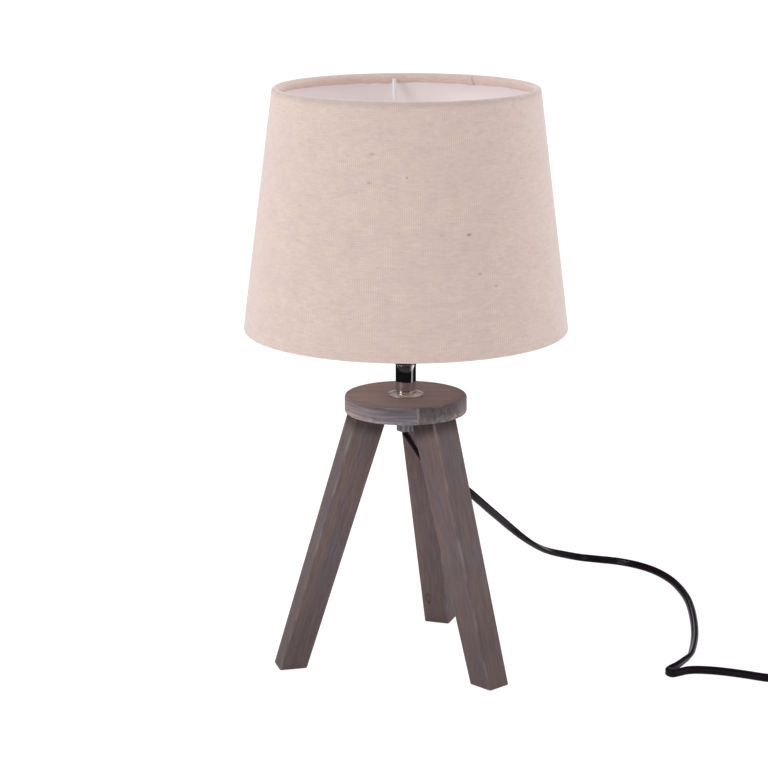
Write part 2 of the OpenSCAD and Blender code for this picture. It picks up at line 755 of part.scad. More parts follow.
// Strap round the coil's turns at one place
module coil_tie() {
    room = cord_t / 2 + tie_w * tie_w / 8 / coil_in_r + 2 * slip_gap;
    in_r = coil_r(coil_turns / 2 - 0.5) - room;
    out_r = coil_r(0.5) + room;
    low = coil_low - cord_w / 2 - 0.08;
    high = coil_high + cord_w / 2 + slip_gap;
    color("#2b2b2e") translate([coil_centre[0], coil_centre[1], 0]) rotate([0, 0, tie_turn])
        translate([0, tie_w / 2, 0]) rotate([90, 0, 0]) linear_extrude(height = tie_w)
        difference() {
            translate([in_r - tie_t, low - tie_t])
                square([out_r - in_r + 2 * tie_t, high - low + 2 * tie_t]);
            translate([in_r, low]) square([out_r - in_r, high - low]);
        }
}

// Inline switch: two half shells round the terminals, with a rocker in the upper one
module switch_outline(inset) {
    r = 8 - inset;
    translate([inset + r, inset]) square([switch_len - 2 * (inset + r), switch_w - 2 * inset]);
    translate([inset, inset + r]) square([switch_len - 2 * inset, switch_w - 2 * (inset + r)]);
    for (x = [inset + r, switch_len - inset - r], y = [inset + r, switch_w - inset - r])
        translate([x, y]) circle(r = r);
}

module switch_slots() {
    for (x = [-over, switch_len - switch_wall - over]) translate([x, switch_w / 2, slot_z])
        rotate([90, 0, 90]) linear_extrude(height = switch_wall + 2 * over)
        scale([1 + 0.6 / cord_w, 1 + 0.6 / cord_w]) polygon(cord_oval);
}

module at_switch() {
    translate([switch_pos[0], switch_pos[1] - switch_w / 2, switch_pos[2]]) children();
}

switch_screws_at = [[18, 5], [switch_len - 18, switch_w - 5]];
pivot_x = switch_len / 2;
pivot_z = switch_h - 3.8;
pivot_d = 2.4;

module switch_bottom() {
    color("#161617") at_switch() difference() {
        union() {
            difference() {
                linear_extrude(height = slot_z) switch_outline(0);
                translate([0, 0, switch_wall]) linear_extrude(height = slot_z)
                    switch_outline(switch_wall);
            }
            for (p = switch_screws_at) translate([p[0], p[1], switch_wall])
                cylinder(d = 5, h = slot_z - switch_wall);
        }
        switch_slots();
        for (p = switch_screws_at) {
            translate([p[0], p[1], -over]) cylinder(d = 2.9, h = slot_z + 2 * over);
            translate([p[0], p[1], -over]) cylinder(d = 5.2, h = over + 1.5);
        }
    }
}

module switch_top() {
    top_t = 1.6;
    room = switch_h - slot_z - top_t;
    color("#161617") at_switch() difference() {
        union() {
            difference() {
                translate([0, 0, slot_z]) linear_extrude(height = switch_h - slot_z)
                    switch_outline(0);
                translate([0, 0, slot_z - over]) linear_extrude(height = room + over)
                    switch_outline(switch_wall);
                translate([pivot_x - rocker_len / 2 - 1, switch_w / 2 - rocker_w / 2 - 0.4, 0])
                    cube([rocker_len + 2, rocker_w + 0.8, switch_h + over]);
            }
            for (p = switch_screws_at) translate([p[0], p[1], slot_z])
                cylinder(d = 5, h = room + 0.5);
            for (s = [-1, 1])
                translate([pivot_x - 2.5, switch_w / 2 + s * (rocker_w / 2 + 1.2) - 0.8, pivot_z - 2.5])
                cube([5, 1.6, switch_h - 0.5 - pivot_z + 2.5]);
        }
        switch_slots();
        for (p = switch_screws_at) translate([p[0], p[1], slot_z - over])
            cylinder(d = 2.2, h = 5 + over);
        translate([pivot_x, switch_w / 2 - rocker_w / 2 - 2.1, pivot_z]) rotate([-90, 0, 0])
            cylinder(d = pivot_d + 2 * fit_gap, h = rocker_w + 4.2);
    }
}

module switch_rocker() {
    half = rocker_len / 2;
    color("#232325") at_switch() translate([pivot_x, switch_w / 2, pivot_z])
        rotate([0, -rocker_tilt, 0]) {
            translate([0, rocker_w / 2, 0]) rotate([90, 0, 0]) linear_extrude(height = rocker_w)
                polygon([[-half, 0.6], [-half, 4.2], [0, 3.5], [half, 4.2], [half, 0.6],
                    [2.4, -2.4], [-2.4, -2.4]]);
            translate([0, -rocker_w / 2 - 1.9, 0]) rotate([-90, 0, 0])
                cylinder(d = pivot_d, h = rocker_w + 3.8);
        }
}

module switch_terminals() {
    block = [6, 10, 6.4];
    color("#c8a951") at_switch() for (x = [8, switch_len - 8 - block[0]])
        translate([x, switch_w / 2 - block[1] / 2, switch_wall]) cube(block);
    color("#c8a951") at_switch() for (x = [8, switch_len - 8 - block[0]])
        translate([x, switch_w / 2 - 3.4, switch_wall + block[2]]) cube([block[0], 6.8, 1.4]);
}

module switch_screws() {
    color("#b9bcc2") at_switch() for (p = switch_screws_at) translate([p[0], p[1], 0]) {
        translate([0, 0, 0.2]) cylinder(d = 4.8, h = 1.3);
        translate([0, 0, 1.5]) cylinder(d = 2.1, h = slot_z + 3);
    }
}

// Plug: a flat two-pin body with a tapered boot, its pins sleeved near the body
pin_core_d = pin_d - 1.2;
pin_root = 7.5;
sleeve_in = 0.2;

module at_plug() {
    translate([coil_mouth_x, plug_y, plug_axis_z]) children();
}

module plug_body() {
    flat = 8;
    rear_w = 15;
    front = boot_len + plug_len;
    color("#161617") at_plug() difference() {
        union() {
            translate([0, 0, -plug_h / 2]) linear_extrude(height = plug_h)
                polygon([[-rear_w / 2, boot_len], [rear_w / 2, boot_len],
                    [plug_w / 2 - 1.5, front - flat], [plug_w / 2, front - flat + 2],
                    [plug_w / 2, front], [-plug_w / 2, front], [-plug_w / 2, front - flat + 2],
                    [-plug_w / 2 + 1.5, front - flat]]);
            rotate([-90, 0, 0]) cylinder(r1 = cord_w / 2 + 0.9, r2 = 5.6, h = boot_len + 0.5);
        }
        for (s = [-1, 1]) translate([s * pin_gap / 2, front - pin_root - fit_gap, 0])
            rotate([-90, 0, 0])
            cylinder(d = pin_core_d + 2 * fit_gap, h = pin_root + fit_gap + over);
    }
}

module plug_pins() {
    tip = pin_d / 2;
    color("#cfd2d6") at_plug() for (s = [-1, 1])
        translate([s * pin_gap / 2, boot_len + plug_len, 0]) rotate([-90, 0, 0]) {
            translate([0, 0, -pin_root]) cylinder(d = pin_core_d, h = pin_root + sleeve_len + 0.5);
            translate([0, 0, sleeve_len]) cylinder(d = pin_d, h = pin_len - sleeve_len - tip);
            translate([0, 0, pin_len - tip]) sphere(d = pin_d);
        }
}

module plug_sleeves() {
    color("#161617") at_plug() for (s = [-1, 1])
        translate([s * pin_gap / 2, boot_len + plug_len, 0]) rotate([-90, 0, 0])
        ring(pin_d / 2 - sleeve_in, pin_core_d / 2 + fit_gap, sleeve_len - 0.02);
}

top_disc();
leg_rear();
leg_left();
leg_right();
foot_pad_rear();
foot_pad_left();
foot_pad_right();
leg_bolts();
leg_inserts();
leg_dowels();
bottom_washer();
hex_nut();
cord_grip();
threaded_rod();
stem_flange();
stem_tube();
stem_collar();
holder_base();
holder_body();
contact_carrier();
centre_contact();
side_contacts();
terminals();
terminal_screws();
lamp_leads();
shade_ring();
bulb_cap();
bulb_insulator();
bulb_contact();
bulb_neck();
led_board();
bulb_globe();
shade_fabric();
shade_liner();
shade_top_ring();
shade_bottom_ring();
shade_arm_back();
shade_arm_left();
shade_arm_right();
fitter_ring();
cord_inner();
cord_run();
cord_link();
cord_coil();
cord_tail();
coil_tie();
switch_bottom();
switch_top();
switch_rocker();
switch_terminals();
switch_screws();
plug_body();
plug_pins();
plug_sleeves();
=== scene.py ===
import math

import bmesh
import bpy
from mathutils import Matrix, Vector, noise


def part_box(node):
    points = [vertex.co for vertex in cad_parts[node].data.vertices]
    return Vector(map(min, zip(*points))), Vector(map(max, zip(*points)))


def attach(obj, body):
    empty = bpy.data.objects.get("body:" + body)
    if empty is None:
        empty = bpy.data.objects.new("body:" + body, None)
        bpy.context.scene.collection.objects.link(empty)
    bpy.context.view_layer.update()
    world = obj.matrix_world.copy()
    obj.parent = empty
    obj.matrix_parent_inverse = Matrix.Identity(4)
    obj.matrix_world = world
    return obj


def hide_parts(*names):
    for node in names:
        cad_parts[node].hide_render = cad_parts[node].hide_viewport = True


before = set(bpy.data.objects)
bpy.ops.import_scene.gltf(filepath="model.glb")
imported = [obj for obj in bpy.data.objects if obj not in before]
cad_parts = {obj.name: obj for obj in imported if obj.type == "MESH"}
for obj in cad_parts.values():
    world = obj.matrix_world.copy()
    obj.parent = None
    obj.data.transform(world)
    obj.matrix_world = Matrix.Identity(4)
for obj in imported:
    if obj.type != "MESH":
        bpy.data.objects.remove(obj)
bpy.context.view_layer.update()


# ---- Viewpoint -----------------------------------------------------------------------
# The camera stands a long arm's reach in front of the lamp and a little above the shade,
# and looks down at it, so the shade's upper rim shows as a narrow ellipse.
camera_distance = 1.6271
camera_height = 0.5786
camera_pitch = math.radians(13.196)
camera_turn = math.radians(0.527)
focal_length_px = 2430.7
picture_px = 768
sensor_mm = 36
farthest_seen = 60

camera_data = bpy.data.cameras.new("camera")
camera_data.sensor_width = sensor_mm
camera_data.lens = focal_length_px / picture_px * sensor_mm
camera_data.clip_end = farthest_seen
camera = bpy.data.objects.new("camera", camera_data)
camera.location = (0, -camera_distance, camera_height)
camera.rotation_euler = (math.pi / 2 - camera_pitch, 0, camera_turn)
bpy.context.scene.collection.objects.link(camera)
bpy.context.scene.camera = camera
bpy.context.scene.view_settings.view_transform = "Standard"


# ---- Studio --------------------------------------------------------------------------
# A white sweep and tent light the lamp softly from all round, most from behind, with a
# soft box high on the left and weaker ones on the right and overhead.
def linear(code):
    """The linear red, green, blue and alpha of an sRGB hex colour."""
    parts = [int(code[i:i + 2], 16) / 255 for i in (1, 3, 5)]
    return [p / 12.92 if p <= 0.04045 else ((p + 0.055) / 1.055) ** 2.4 for p in parts] + [1.0]


def add(tree, kind, inputs, **settings):
    """Adds a shader node with its settings. Its inputs get a value, a hex colour, a socket,
    or a node, which stands for that node's first output."""
    made = tree.nodes.new("ShaderNode" + kind)
    for key, value in settings.items():
        setattr(made, key, value)
    for key, value in inputs.items():
        if isinstance(value, bpy.types.Node):
            value = value.outputs[0]
        if isinstance(value, bpy.types.NodeSocket):
            tree.links.new(value, made.inputs[key])
        else:
            made.inputs[key].default_value = linear(value) if isinstance(value, str) else value
    return made


def new_material(name):
    """A material with nothing but its output, and its node tree."""
    made = bpy.data.materials.new(name)
    made.use_nodes = True
    made.node_tree.nodes.clear()
    return made, made.node_tree


def paper_sweep():
    # Matt white paper, exposed so that it comes out white and keeps a trace of shadow.
    # Polished metal sees it grey round the lamp and dark beyond, with a lit strip on the right.
    white_glow = 0.96
    made, tree = new_material("white_paper_sweep")
    ray = add(tree, "LightPath", {})
    seen = add(tree, "Math", {
        0: ray.outputs["Is Camera Ray"], 1: ray.outputs["Is Glossy Ray"]}, operation="MAXIMUM")
    seen = add(tree, "Math", {0: seen, 1: ray.outputs["Is Transmission Ray"]}, operation="MAXIMUM")
    place = add(tree, "TexCoord", {}).outputs["Object"]
    near = add(tree, "VectorMath", {0: place}, operation="LENGTH")
    around = add(tree, "MapRange", {
        "Value": near.outputs["Value"], "From Min": 0.2, "From Max": 0.5, "To Min": 0.5,
        "To Max": 0.004}, interpolation_type="SMOOTHSTEP")
    unit = add(tree, "VectorMath", {0: place}, operation="NORMALIZE")
    aside = add(tree, "VectorMath", {0: unit, 1: strip_way}, operation="DOT_PRODUCT")
    strip = add(tree, "MapRange", {
        "Value": aside.outputs["Value"], "From Min": 0.972, "From Max": 0.99, "To Max": 0.42},
        interpolation_type="SMOOTHSTEP")
    shown = add(tree, "Math", {0: strip, 1: around}, operation="MAXIMUM")
    strength = add(tree, "MixRGB", {
        "Fac": ray.outputs["Is Glossy Ray"], "Color1": (white_glow, white_glow, white_glow, 1),
        "Color2": shown})
    lit = add(tree, "BsdfDiffuse", {"Color": "#f4f3f4"})
    paper = add(tree, "MixRGB", {
        "Fac": ray.outputs["Is Glossy Ray"], "Color1": "#6f6e6f", "Color2": "#0a0a0a"})
    dim = add(tree, "BsdfDiffuse", {"Color": paper})
    glow = add(tree, "Emission", {"Color": "#fffeff", "Strength": strength})
    bright = add(tree, "AddShader", {0: dim, 1: glow})
    mixed = add(tree, "MixShader", {0: seen, 1: lit, 2: bright})
    add(tree, "OutputMaterial", {"Surface": mixed})
    return made


# Directions from the lamp: to the brightest side of the room, and to the lit strip.
room_way = (0.36, 0.93, 0)
strip_way = (0.97, -0.24, 0)
sweep_size = 40
bm = bmesh.new()
bmesh.ops.create_grid(bm, x_segments=1, y_segments=1, size=sweep_size / 2)
floor_mesh = bpy.data.meshes.new("floor")
bm.to_mesh(floor_mesh)
bm.free()
floor_mesh.materials.append(paper_sweep())
floor = bpy.data.objects.new("floor", floor_mesh)
bpy.context.scene.collection.objects.link(floor)

# The room: a white tent, brighter behind the lamp, which the camera sees as plain white.
# Polished metal sees only a low bright band of it behind the lamp, and the rest dark.
soft_edge = 0.35
world = bpy.data.worlds.new("studio")
bpy.context.scene.world = world
world.use_nodes = True
tree = world.node_tree
tree.nodes.clear()
way = add(tree, "TexCoord", {}).outputs["Generated"]
behind = add(tree, "VectorMath", {0: way, 1: room_way}, operation="DOT_PRODUCT")
wall = add(tree, "MapRange", {
    "Value": behind.outputs["Value"], "From Min": -soft_edge, "From Max": soft_edge, "To Min": 0.05,
    "To Max": 1.0}, interpolation_type="SMOOTHSTEP")
height = add(tree, "SeparateXYZ", {"Vector": way})
low = add(tree, "MapRange", {
    "Value": height.outputs["Z"], "From Min": 0.04, "From Max": 0.24, "To Min": 1.0,
    "To Max": 0.06}, interpolation_type="SMOOTHSTEP")
ray = add(tree, "LightPath", {})
shown = add(tree, "Math", {0: wall, 1: low}, operation="MULTIPLY")
tent = add(tree, "MapRange", {
    "Value": behind.outputs["Value"], "From Min": -soft_edge, "From Max": soft_edge, "To Min": 0.42,
    "To Max": 1.35}, interpolation_type="SMOOTHSTEP")
level = add(tree, "MixRGB", {"Fac": ray.outputs["Is Glossy Ray"], "Color1": tent, "Color2": shown})
room = add(tree, "Background", {"Color": level, "Strength": 1.0})
white = add(tree, "Background", {"Color": "#fffeff", "Strength": 1.0})
mixed = add(tree, "MixShader", {0: ray.outputs["Is Camera Ray"], 1: room, 2: white})
add(tree, "OutputWorld", {"Surface": mixed})


def softbox(name, place, aim, size, watts):
    """A square soft light at a place, aimed at a point."""
    data = bpy.data.lights.new(name, "AREA")
    data.size = size
    data.energy = watts
    made = bpy.data.objects.new(name, data)
    made.location = place
    made.rotation_euler = (Vector(aim) - Vector(place)).to_track_quat("-Z", "Y").to_euler()
    bpy.context.scene.collection.objects.link(made)


softbox("key", place=(-1.8, -1.1, 1.0), aim=(0, 0, 0.25), size=0.7, watts=16)
softbox("fill", place=(1.8, -1.0, 0.9), aim=(0, 0, 0.25), size=0.7, watts=3)
softbox("top", place=(0, -0.6, 2.0), aim=(0, 0, 0.2), size=1.2, watts=1.5)


# ---- Flexible cord -------------------------------------------------------------------
# A flat twin cord in black PVC: two insulated cores side by side under one extruded
# sheath. It drops out of the grip, lies on the floor and ends in an inline switch; a
# second length runs on through the stored coil to the plug.
MM = 0.001


def surface(tree, inputs):
    """Ends a material in one principled shader."""
    shader = add(tree, "BsdfPrincipled", inputs)
    add(tree, "OutputMaterial", {"Surface": shader})


def smooth(mesh, degrees):
    """Shades a mesh smooth, apart from the edges that turn more than some degrees."""
    mesh.polygons.foreach_set("use_smooth", [True] * len(mesh.polygons))
    mesh.set_sharp_from_angle(angle=math.radians(degrees))


def add_piece(name, bm, material, body, stands_for, sharp=35):
    """Makes a piece of a bmesh: its object, smooth shading, material and body, and hides the CAD
    nodes it stands for.
    """
    mesh = bpy.data.meshes.new(name)
    bm.to_mesh(mesh)
    bm.free()
    smooth(mesh, sharp)
    mesh.materials.append(material)
    made = bpy.data.objects.new(name, mesh)
    bpy.context.scene.collection.objects.link(made)
    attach(made, body)
    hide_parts(*stands_for)
    return made


def pvc_sheath():
    # Plasticised PVC, extruded: glossy black, with faint drawn lines along its length.
    made, tree = new_material("extruded_black_pvc")
    uv = add(tree, "UVMap", {}, uv_map="along")
    lines = add(tree, "Mapping", {"Vector": uv, "Scale": (9, 40, 1)})
    drawn = add(tree, "TexNoise", {"Vector": lines, "Scale": 1, "Detail": 4})
    rough = add(tree, "MapRange", {"Value": drawn, "To Min": 0.1, "To Max": 0.2})
    tint = add(tree, "MixRGB", {"Fac": drawn, "Color1": "#150d15", "Color2": "#1f161f"})
    bump = add(tree, "Bump", {"Height": drawn, "Strength": 0.05, "Distance": MM})
    surface(tree, {
        "Base Color": tint, "Roughness": rough, "Normal": bump, "Specular IOR Level": 0.15})
    return made


cord_width = 5.8 * MM
cord_thickness = 3.6 * MM
core_shift = (cord_width - cord_thickness) / 2
lobe_angles = [math.radians(a) for a in range(-120, 121, 20)]
cord_section = [(side * (core_shift + cord_thickness / 2 * math.cos(a)),
                 side * cord_thickness / 2 * math.sin(a)) for side in (1, -1) for a in lobe_angles]

# The route down from the grip and over the floor: x, y and z in metres, and the roll of the
# flat cord in degrees. The link runs on from the switch, and the tail from the coil.
run_points = [
    (0, 0, .1645, 28), (0, 0, .162, 28), (.002, .0005, .1585, 28), (.005, .002, .1535, 28),
    (.009, .005, .146, 30), (.014, .01, .1385, 34), (.02, .018, .1305, 40), (.028, .032, .121, 55),
    (.036, .048, .113, 75), (.044, .065, .1035, 94), (.053, .083, .091, 104),
    (.062, .1021, .078, 108), (.071, .122, .065, 106), (.08, .1402, .0525, 92),
    (.09, .1568, .04, 62), (.101, .1778, .027, 40), (.112, .1948, .0175, 45),
    (.125, .2086, .0105, 60), (.138, .2173, .0055, 68), (.152, .2203, .0031, 70),
    (.168, .2155, .00283, 66), (.181, .2071, .00278, 60), (.192, .1956, .0027, 52),
    (.2, .1817, .00261, 45), (.206, .1655, .00251, 38), (.21, .146, .0025, 34),
    (.2125, .124, .0025, 32), (.2129, .102, .0025, 32), (.2121, .08, .0025, 32),
    (.2106, .058, .0025, 32), (.2082, .036, .0025, 34), (.2046, .014, .00257, 42),
    (.2005, -.004, .00273, 55), (.194, -.017, .00288, 72), (.188, -.0275, .003, 85),
    (.183, -.034, .003, 90), (.181, -.039, .003, 90), (.184, -.0425, .003, 90),
    (.189, -.04, .003, 90), (.196, -.036, .003, 90), (.206, -.0355, .003, 90),
    (.219, -.0385, .003, 90), (.233, -.044, .003, 90), (.247, -.0505, .003, 85),
    (.258, -.0545, .0036, 60), (.267, -.056, .0054, 25), (.276, -.056, .00755, 0),
    (.284, -.056, .00755, 0),
]
coil_mouth_x = .3662
link_points = [
    (.326, -.056, .00755, 0), (.334, -.056, .00755, 0), (.343, -.0545, .0056, 25),
    (.352, -.050, .0042, 60), (.359, -.043, .0038, 80), (.364, -.033, .0036, 90),
    (.366, -.020, .0036, 90), (coil_mouth_x, -.006, .0036, 90), (coil_mouth_x, .0102, .0036, 90),
]
tail_points = [
    (coil_mouth_x, .0218, .0099, 90), (coil_mouth_x, .0258, .0099, 88),
    (coil_mouth_x, .0339, .0084, 45), (coil_mouth_x, .042, .0069, 2),
    (coil_mouth_x, .046, .0069, 0),
]

# The stored coil: it spirals in on the lower layer and out again on the upper one. Its
# centre, radius, pitch and layers are in metres.
coil_centre = (.331, .016)
coil_turns = 4
coil_in_r = .027
coil_pitch = .0041
coil_low = .0036
coil_layer = .0063
coil_steps = 24
rise_turns = 0.5


def coil_place(turn):
    """A place on the coil's centreline, some turns from its start."""
    t = min(1, max(0, (turn - coil_turns / 2 + rise_turns / 2) / rise_turns))
    r = coil_in_r + coil_pitch * abs(turn - coil_turns / 2)
    return (coil_centre[0] + r * math.cos(2 * math.pi * turn),
            coil_centre[1] + r * math.sin(2 * math.pi * turn),
            coil_low + coil_layer * t * t * (3 - 2 * t), 90)


coil_points = [coil_place(i / coil_steps) for i in range(coil_steps * coil_turns + 1)]


def at(points, i):
    """Point i of a list, or its first or last where i is beyond them."""
    return points[max(0, min(len(points) - 1, i))]


def route_rings(points, steps):
    """Centres, width directions and rolls at many places on a smooth curve along a route."""
    stations = []
    for i, p in enumerate(points):
        back, ahead = Vector(at(points, i - 1)), Vector(at(points, i + 2))
        level = Vector((back.y - ahead.y, ahead.x - back.x)).normalized()
        stations.append(Vector((*p, *level)))
    dense = []
    for i in range(len(stations) - 1):
        a, b, c, d = (at(stations, i + k) for k in (-1, 0, 1, 2))
        for s in range(steps):
            t = s / steps
            dense.append(b + (c - a) * (t / 2) + (a * 2 - b * 5 + c * 4 - d) * (t * t / 2)
                         + (b * 3 - a - c * 3 + d) * (t ** 3 / 2))
    dense.append(stations[-1])
    return dense


def sweep(name, points, steps, outline, material, body, stands_for):
    """A cord: an outline swept along a route, with some steps from point to point, and
    closed at both ends. Gives it and its path."""
    rings = route_rings(points, steps)
    path = [Vector(r[:3]) for r in rings]
    bm = bmesh.new()
    uv = bm.loops.layers.uv.new("along")
    rows, run = [], 0.0
    for i, r in enumerate(rings):
        ahead = (at(path, i + 1) - at(path, i - 1)).normalized()
        side = Vector((r[4], r[5], 0))
        side = (side - side.dot(ahead) * ahead).normalized()
        up = ahead.cross(side)
        roll = math.radians(r[3])
        wide = math.cos(roll) * side + math.sin(roll) * up
        tall = math.cos(roll) * up - math.sin(roll) * side
        run += (path[i] - at(path, i - 1)).length
        rows.append(([bm.verts.new(path[i] + wide * p[0] + tall * p[1]) for p in outline], run))
    count = len(outline)
    for (row, start), (after, end) in zip(rows, rows[1:]):
        for k in range(count):
            face = bm.faces.new((row[k], row[(k + 1) % count], after[(k + 1) % count], after[k]))
            corners = ((k, start), (k + 1, start), (k + 1, end), (k, end))
            for loop, (across, along) in zip(face.loops, corners):
                loop[uv].uv = (across / count, along)
    bm.faces.new(reversed(rows[0][0]))
    bm.faces.new(rows[-1][0])
    made = add_piece(name, bm, material, body, stands_for, sharp=60)
    return made, path


black_pvc = pvc_sheath()
run_steps, wound_steps = 5, 3
lamp_cord, lamp_cord_path = sweep("lamp_cord", run_points, run_steps, cord_section, black_pvc,
                                  "stand", ["cord_run"])
plug_cord, plug_cord_path = sweep("plug_cord", link_points + coil_points + tail_points,
                                  wound_steps, cord_section, black_pvc, "stand",
                                  ["cord_link", "cord_coil", "cord_tail"])


# ---- Wooden top ----------------------------------------------------------------------
# A round pine board, turned with rounded edges, then stained grey and wiped, so brown
# shows through on top and the stain is rubbed pale along the edges.
def spun(profile, steps=96):
    """A bmesh of a closed profile of radii and heights in mm, turned round the Z axis."""
    bm = bmesh.new()
    line = [bm.verts.new((x * MM, 0, z * MM)) for x, z in profile]
    edges = [bm.edges.new(pair) for pair in zip(line, line[1:] + line[:1])]
    bmesh.ops.spin(bm, geom=line + edges, cent=(0, 0, 0), axis=(0, 0, 1), angle=2 * math.pi,
                   steps=steps, use_merge=True, use_duplicate=False)
    bmesh.ops.remove_doubles(bm, verts=bm.verts, dist=1e-6)
    bmesh.ops.recalc_face_normals(bm, faces=bm.faces)
    return bm


def ease(bm, width, segments=2, angle=30):
    """Rounds the edges of a bmesh that turn more than some degrees, by a width in mm."""
    turned = [e for e in bm.edges if e.is_manifold and e.calc_face_angle(0) > math.radians(angle)]
    bmesh.ops.bevel(bm, geom=turned, offset=width * MM, offset_type="OFFSET", affect="EDGES",
                    segments=segments, profile=0.5, material=-1, clamp_overlap=True)
    return bm


def set_grain(bm, to_board, to_edge):
    """Keeps each vertex's place along the grain, in mm, and its nearness to the edges."""
    grain = bm.verts.layers.float_vector.new("grain")
    edge = bm.verts.layers.float_vector.new("edge")
    for v in bm.verts:
        v[grain] = to_board(v.co) / MM
        v[edge] = to_edge(v.co / MM)


def washed_pine(name, shift, brown="#79645f", grey="#6c5d63", rub=0.3, knot=None, rim_joint=None):
    # Pine, stained grey and wiped: long soft streaks where the stain took unevenly, fine
    # dark pores along the grain, and pale rubbed edges. The pores are drawn 0.7 mm wide,
    # coarser than the real ones, so that they show. Sizes in the Mapping nodes are in mm.
    made, tree = new_material(name)
    place = add(tree, "Attribute", {}, attribute_name="grain").outputs["Vector"]
    grain = add(tree, "Mapping", {"Vector": place, "Location": shift})
    long_streak = add(tree, "Mapping", {"Vector": grain, "Scale": (1 / 110, 1 / 7, 1 / 7)})
    streaks = add(tree, "TexNoise", {
        "Vector": long_streak, "Scale": 1, "Detail": 3, "Roughness": 0.6, "Distortion": 0.25})
    fine = add(tree, "Mapping", {"Vector": grain, "Scale": (1 / 14, 1 / 0.7, 1 / 0.7)})
    pores = add(tree, "TexNoise", {"Vector": fine, "Scale": 1, "Detail": 3})
    blotch = add(tree, "Mapping", {"Vector": grain, "Scale": (1 / 35, 1 / 11, 1 / 11)})
    blotches = add(tree, "TexNoise", {"Vector": blotch, "Scale": 1, "Detail": 2})
    took = add(tree, "MapRange", {"Value": streaks, "From Min": 0.36, "From Max": 0.62})
    stained = add(tree, "MixRGB", {"Fac": took, "Color1": brown, "Color2": grey})
    cool = add(tree, "MapRange", {
        "Value": blotches, "From Min": 0.5, "From Max": 0.72, "To Max": 0.4})
    cooled = add(tree, "MixRGB", {"Fac": cool, "Color1": stained, "Color2": "#67656d"})
    dark = add(tree, "MapRange", {
        "Value": pores, "From Min": 0.34, "From Max": 0.62, "To Min": 0.8, "To Max": 1.1})
    colour = add(tree, "VectorMath", {0: cooled, "Scale": dark}, operation="SCALE")
    near = add(tree, "Attribute", {}, attribute_name="edge").outputs["Vector"]
    if rim_joint is not None:
        # The top is painted lighter to the left, where light falls on it, and it is darker close to
        # its rounded edge. The rim's tone goes by its place in mm from the left, with painted light
        # that makes it paler towards both ends, most to the left, and a dark finger joint; beyond
        # the joint it is end grain, with short upright mottled pores. Painted shade darkens the
        # rim's upper part, and painted light makes it lighter low down.
        where = add(tree, "SeparateXYZ", {"Vector": place})
        edge_parts = add(tree, "SeparateXYZ", {"Vector": near})
        # Painted light: the top grows lighter towards its left.
        painted_left_light = add(tree, "MapRange", {
            "Value": where.outputs["X"], "From Min": -40, "From Max": 5, "To Min": 1.3,
            "To Max": 1.0})
        lit_top = add(tree, "VectorMath", {0: colour, "Scale": painted_left_light}, operation="SCALE")
        reach = 42
        along = add(tree, "MapRange", {
            "Value": where.outputs["X"], "From Min": -reach, "From Max": reach})
        # The top is darker close to its rounded edge.
        arris = add(tree, "MapRange", {
            "Value": edge_parts.outputs["X"], "From Min": 0.6, "From Max": 0.86, "To Min": 1.0,
            "To Max": 0.72})
        lit_top = add(tree, "VectorMath", {0: lit_top, "Scale": arris}, operation="SCALE")
        # This ramp holds painted light, paler towards both ends and most at the left, and the dark
        # finger joint.
        rim_tone_and_light = add(tree, "ValToRGB", {"Fac": along})
        ramp = rim_tone_and_light.color_ramp
        ramp.elements[0].color = linear("#9d8886")
        ramp.elements[1].color = linear("#887a7b")
        for at_x, code in ((-34, "#87797a"), (-22, "#756d70"), (-12, "#6d676c"), (6, "#6c656a"),
                           (rim_joint, "#5e5557"), (30, "#635a5c"), (37, "#7d7172")):
            ramp.elements.new((at_x + reach) / (2 * reach)).color = linear(code)
        flat_place = add(tree, "Mapping", {"Vector": place, "Scale": (1 / 22, 1 / 22, 1 / 1.2)})
        flat_streaks = add(tree, "TexNoise", {"Vector": flat_place, "Scale": 1, "Detail": 4})
        upright_place = add(tree, "Mapping", {
            "Vector": place, "Scale": (1 / 1.3, 1 / 1.3, 1 / 4.5)})
        upright = add(tree, "TexNoise", {
            "Vector": upright_place, "Scale": 1, "Detail": 4, "Roughness": 0.65})
        beyond = add(tree, "Math", {0: where.outputs["X"], 1: rim_joint}, operation="GREATER_THAN")
        pattern = add(tree, "MixRGB", {"Fac": beyond, "Color1": flat_streaks, "Color2": upright})
        contrast = add(tree, "MapRange", {
            "Value": pattern, "From Min": 0.3, "From Max": 0.7, "To Min": 0.62, "To Max": 1.44})
        # Painted shade darkens the rim's upper part, and painted light makes it lighter low down.
        shade = add(tree, "MapRange", {
            "Value": edge_parts.outputs["Y"], "From Min": -1, "From Max": 1, "To Min": 1.26,
            "To Max": 0.72})
        both_tones = add(tree, "Math", {0: contrast, 1: shade}, operation="MULTIPLY")
        rim_colour = add(tree, "VectorMath", {0: rim_tone_and_light, "Scale": both_tones}, operation="SCALE")
        off_joint = add(tree, "Math", {0: where.outputs["X"], 1: rim_joint}, operation="SUBTRACT")
        joint_far = add(tree, "Math", {0: off_joint}, operation="ABSOLUTE")
        glued = add(tree, "MapRange", {
            "Value": joint_far, "From Min": 1.1, "From Max": 0.1, "To Max": 0.7})
        joint = add(tree, "Math", {0: glued, 1: upright}, operation="MULTIPLY")
        jointed = add(tree, "MixRGB", {"Fac": joint, "Color1": rim_colour, "Color2": "#b3abad"})
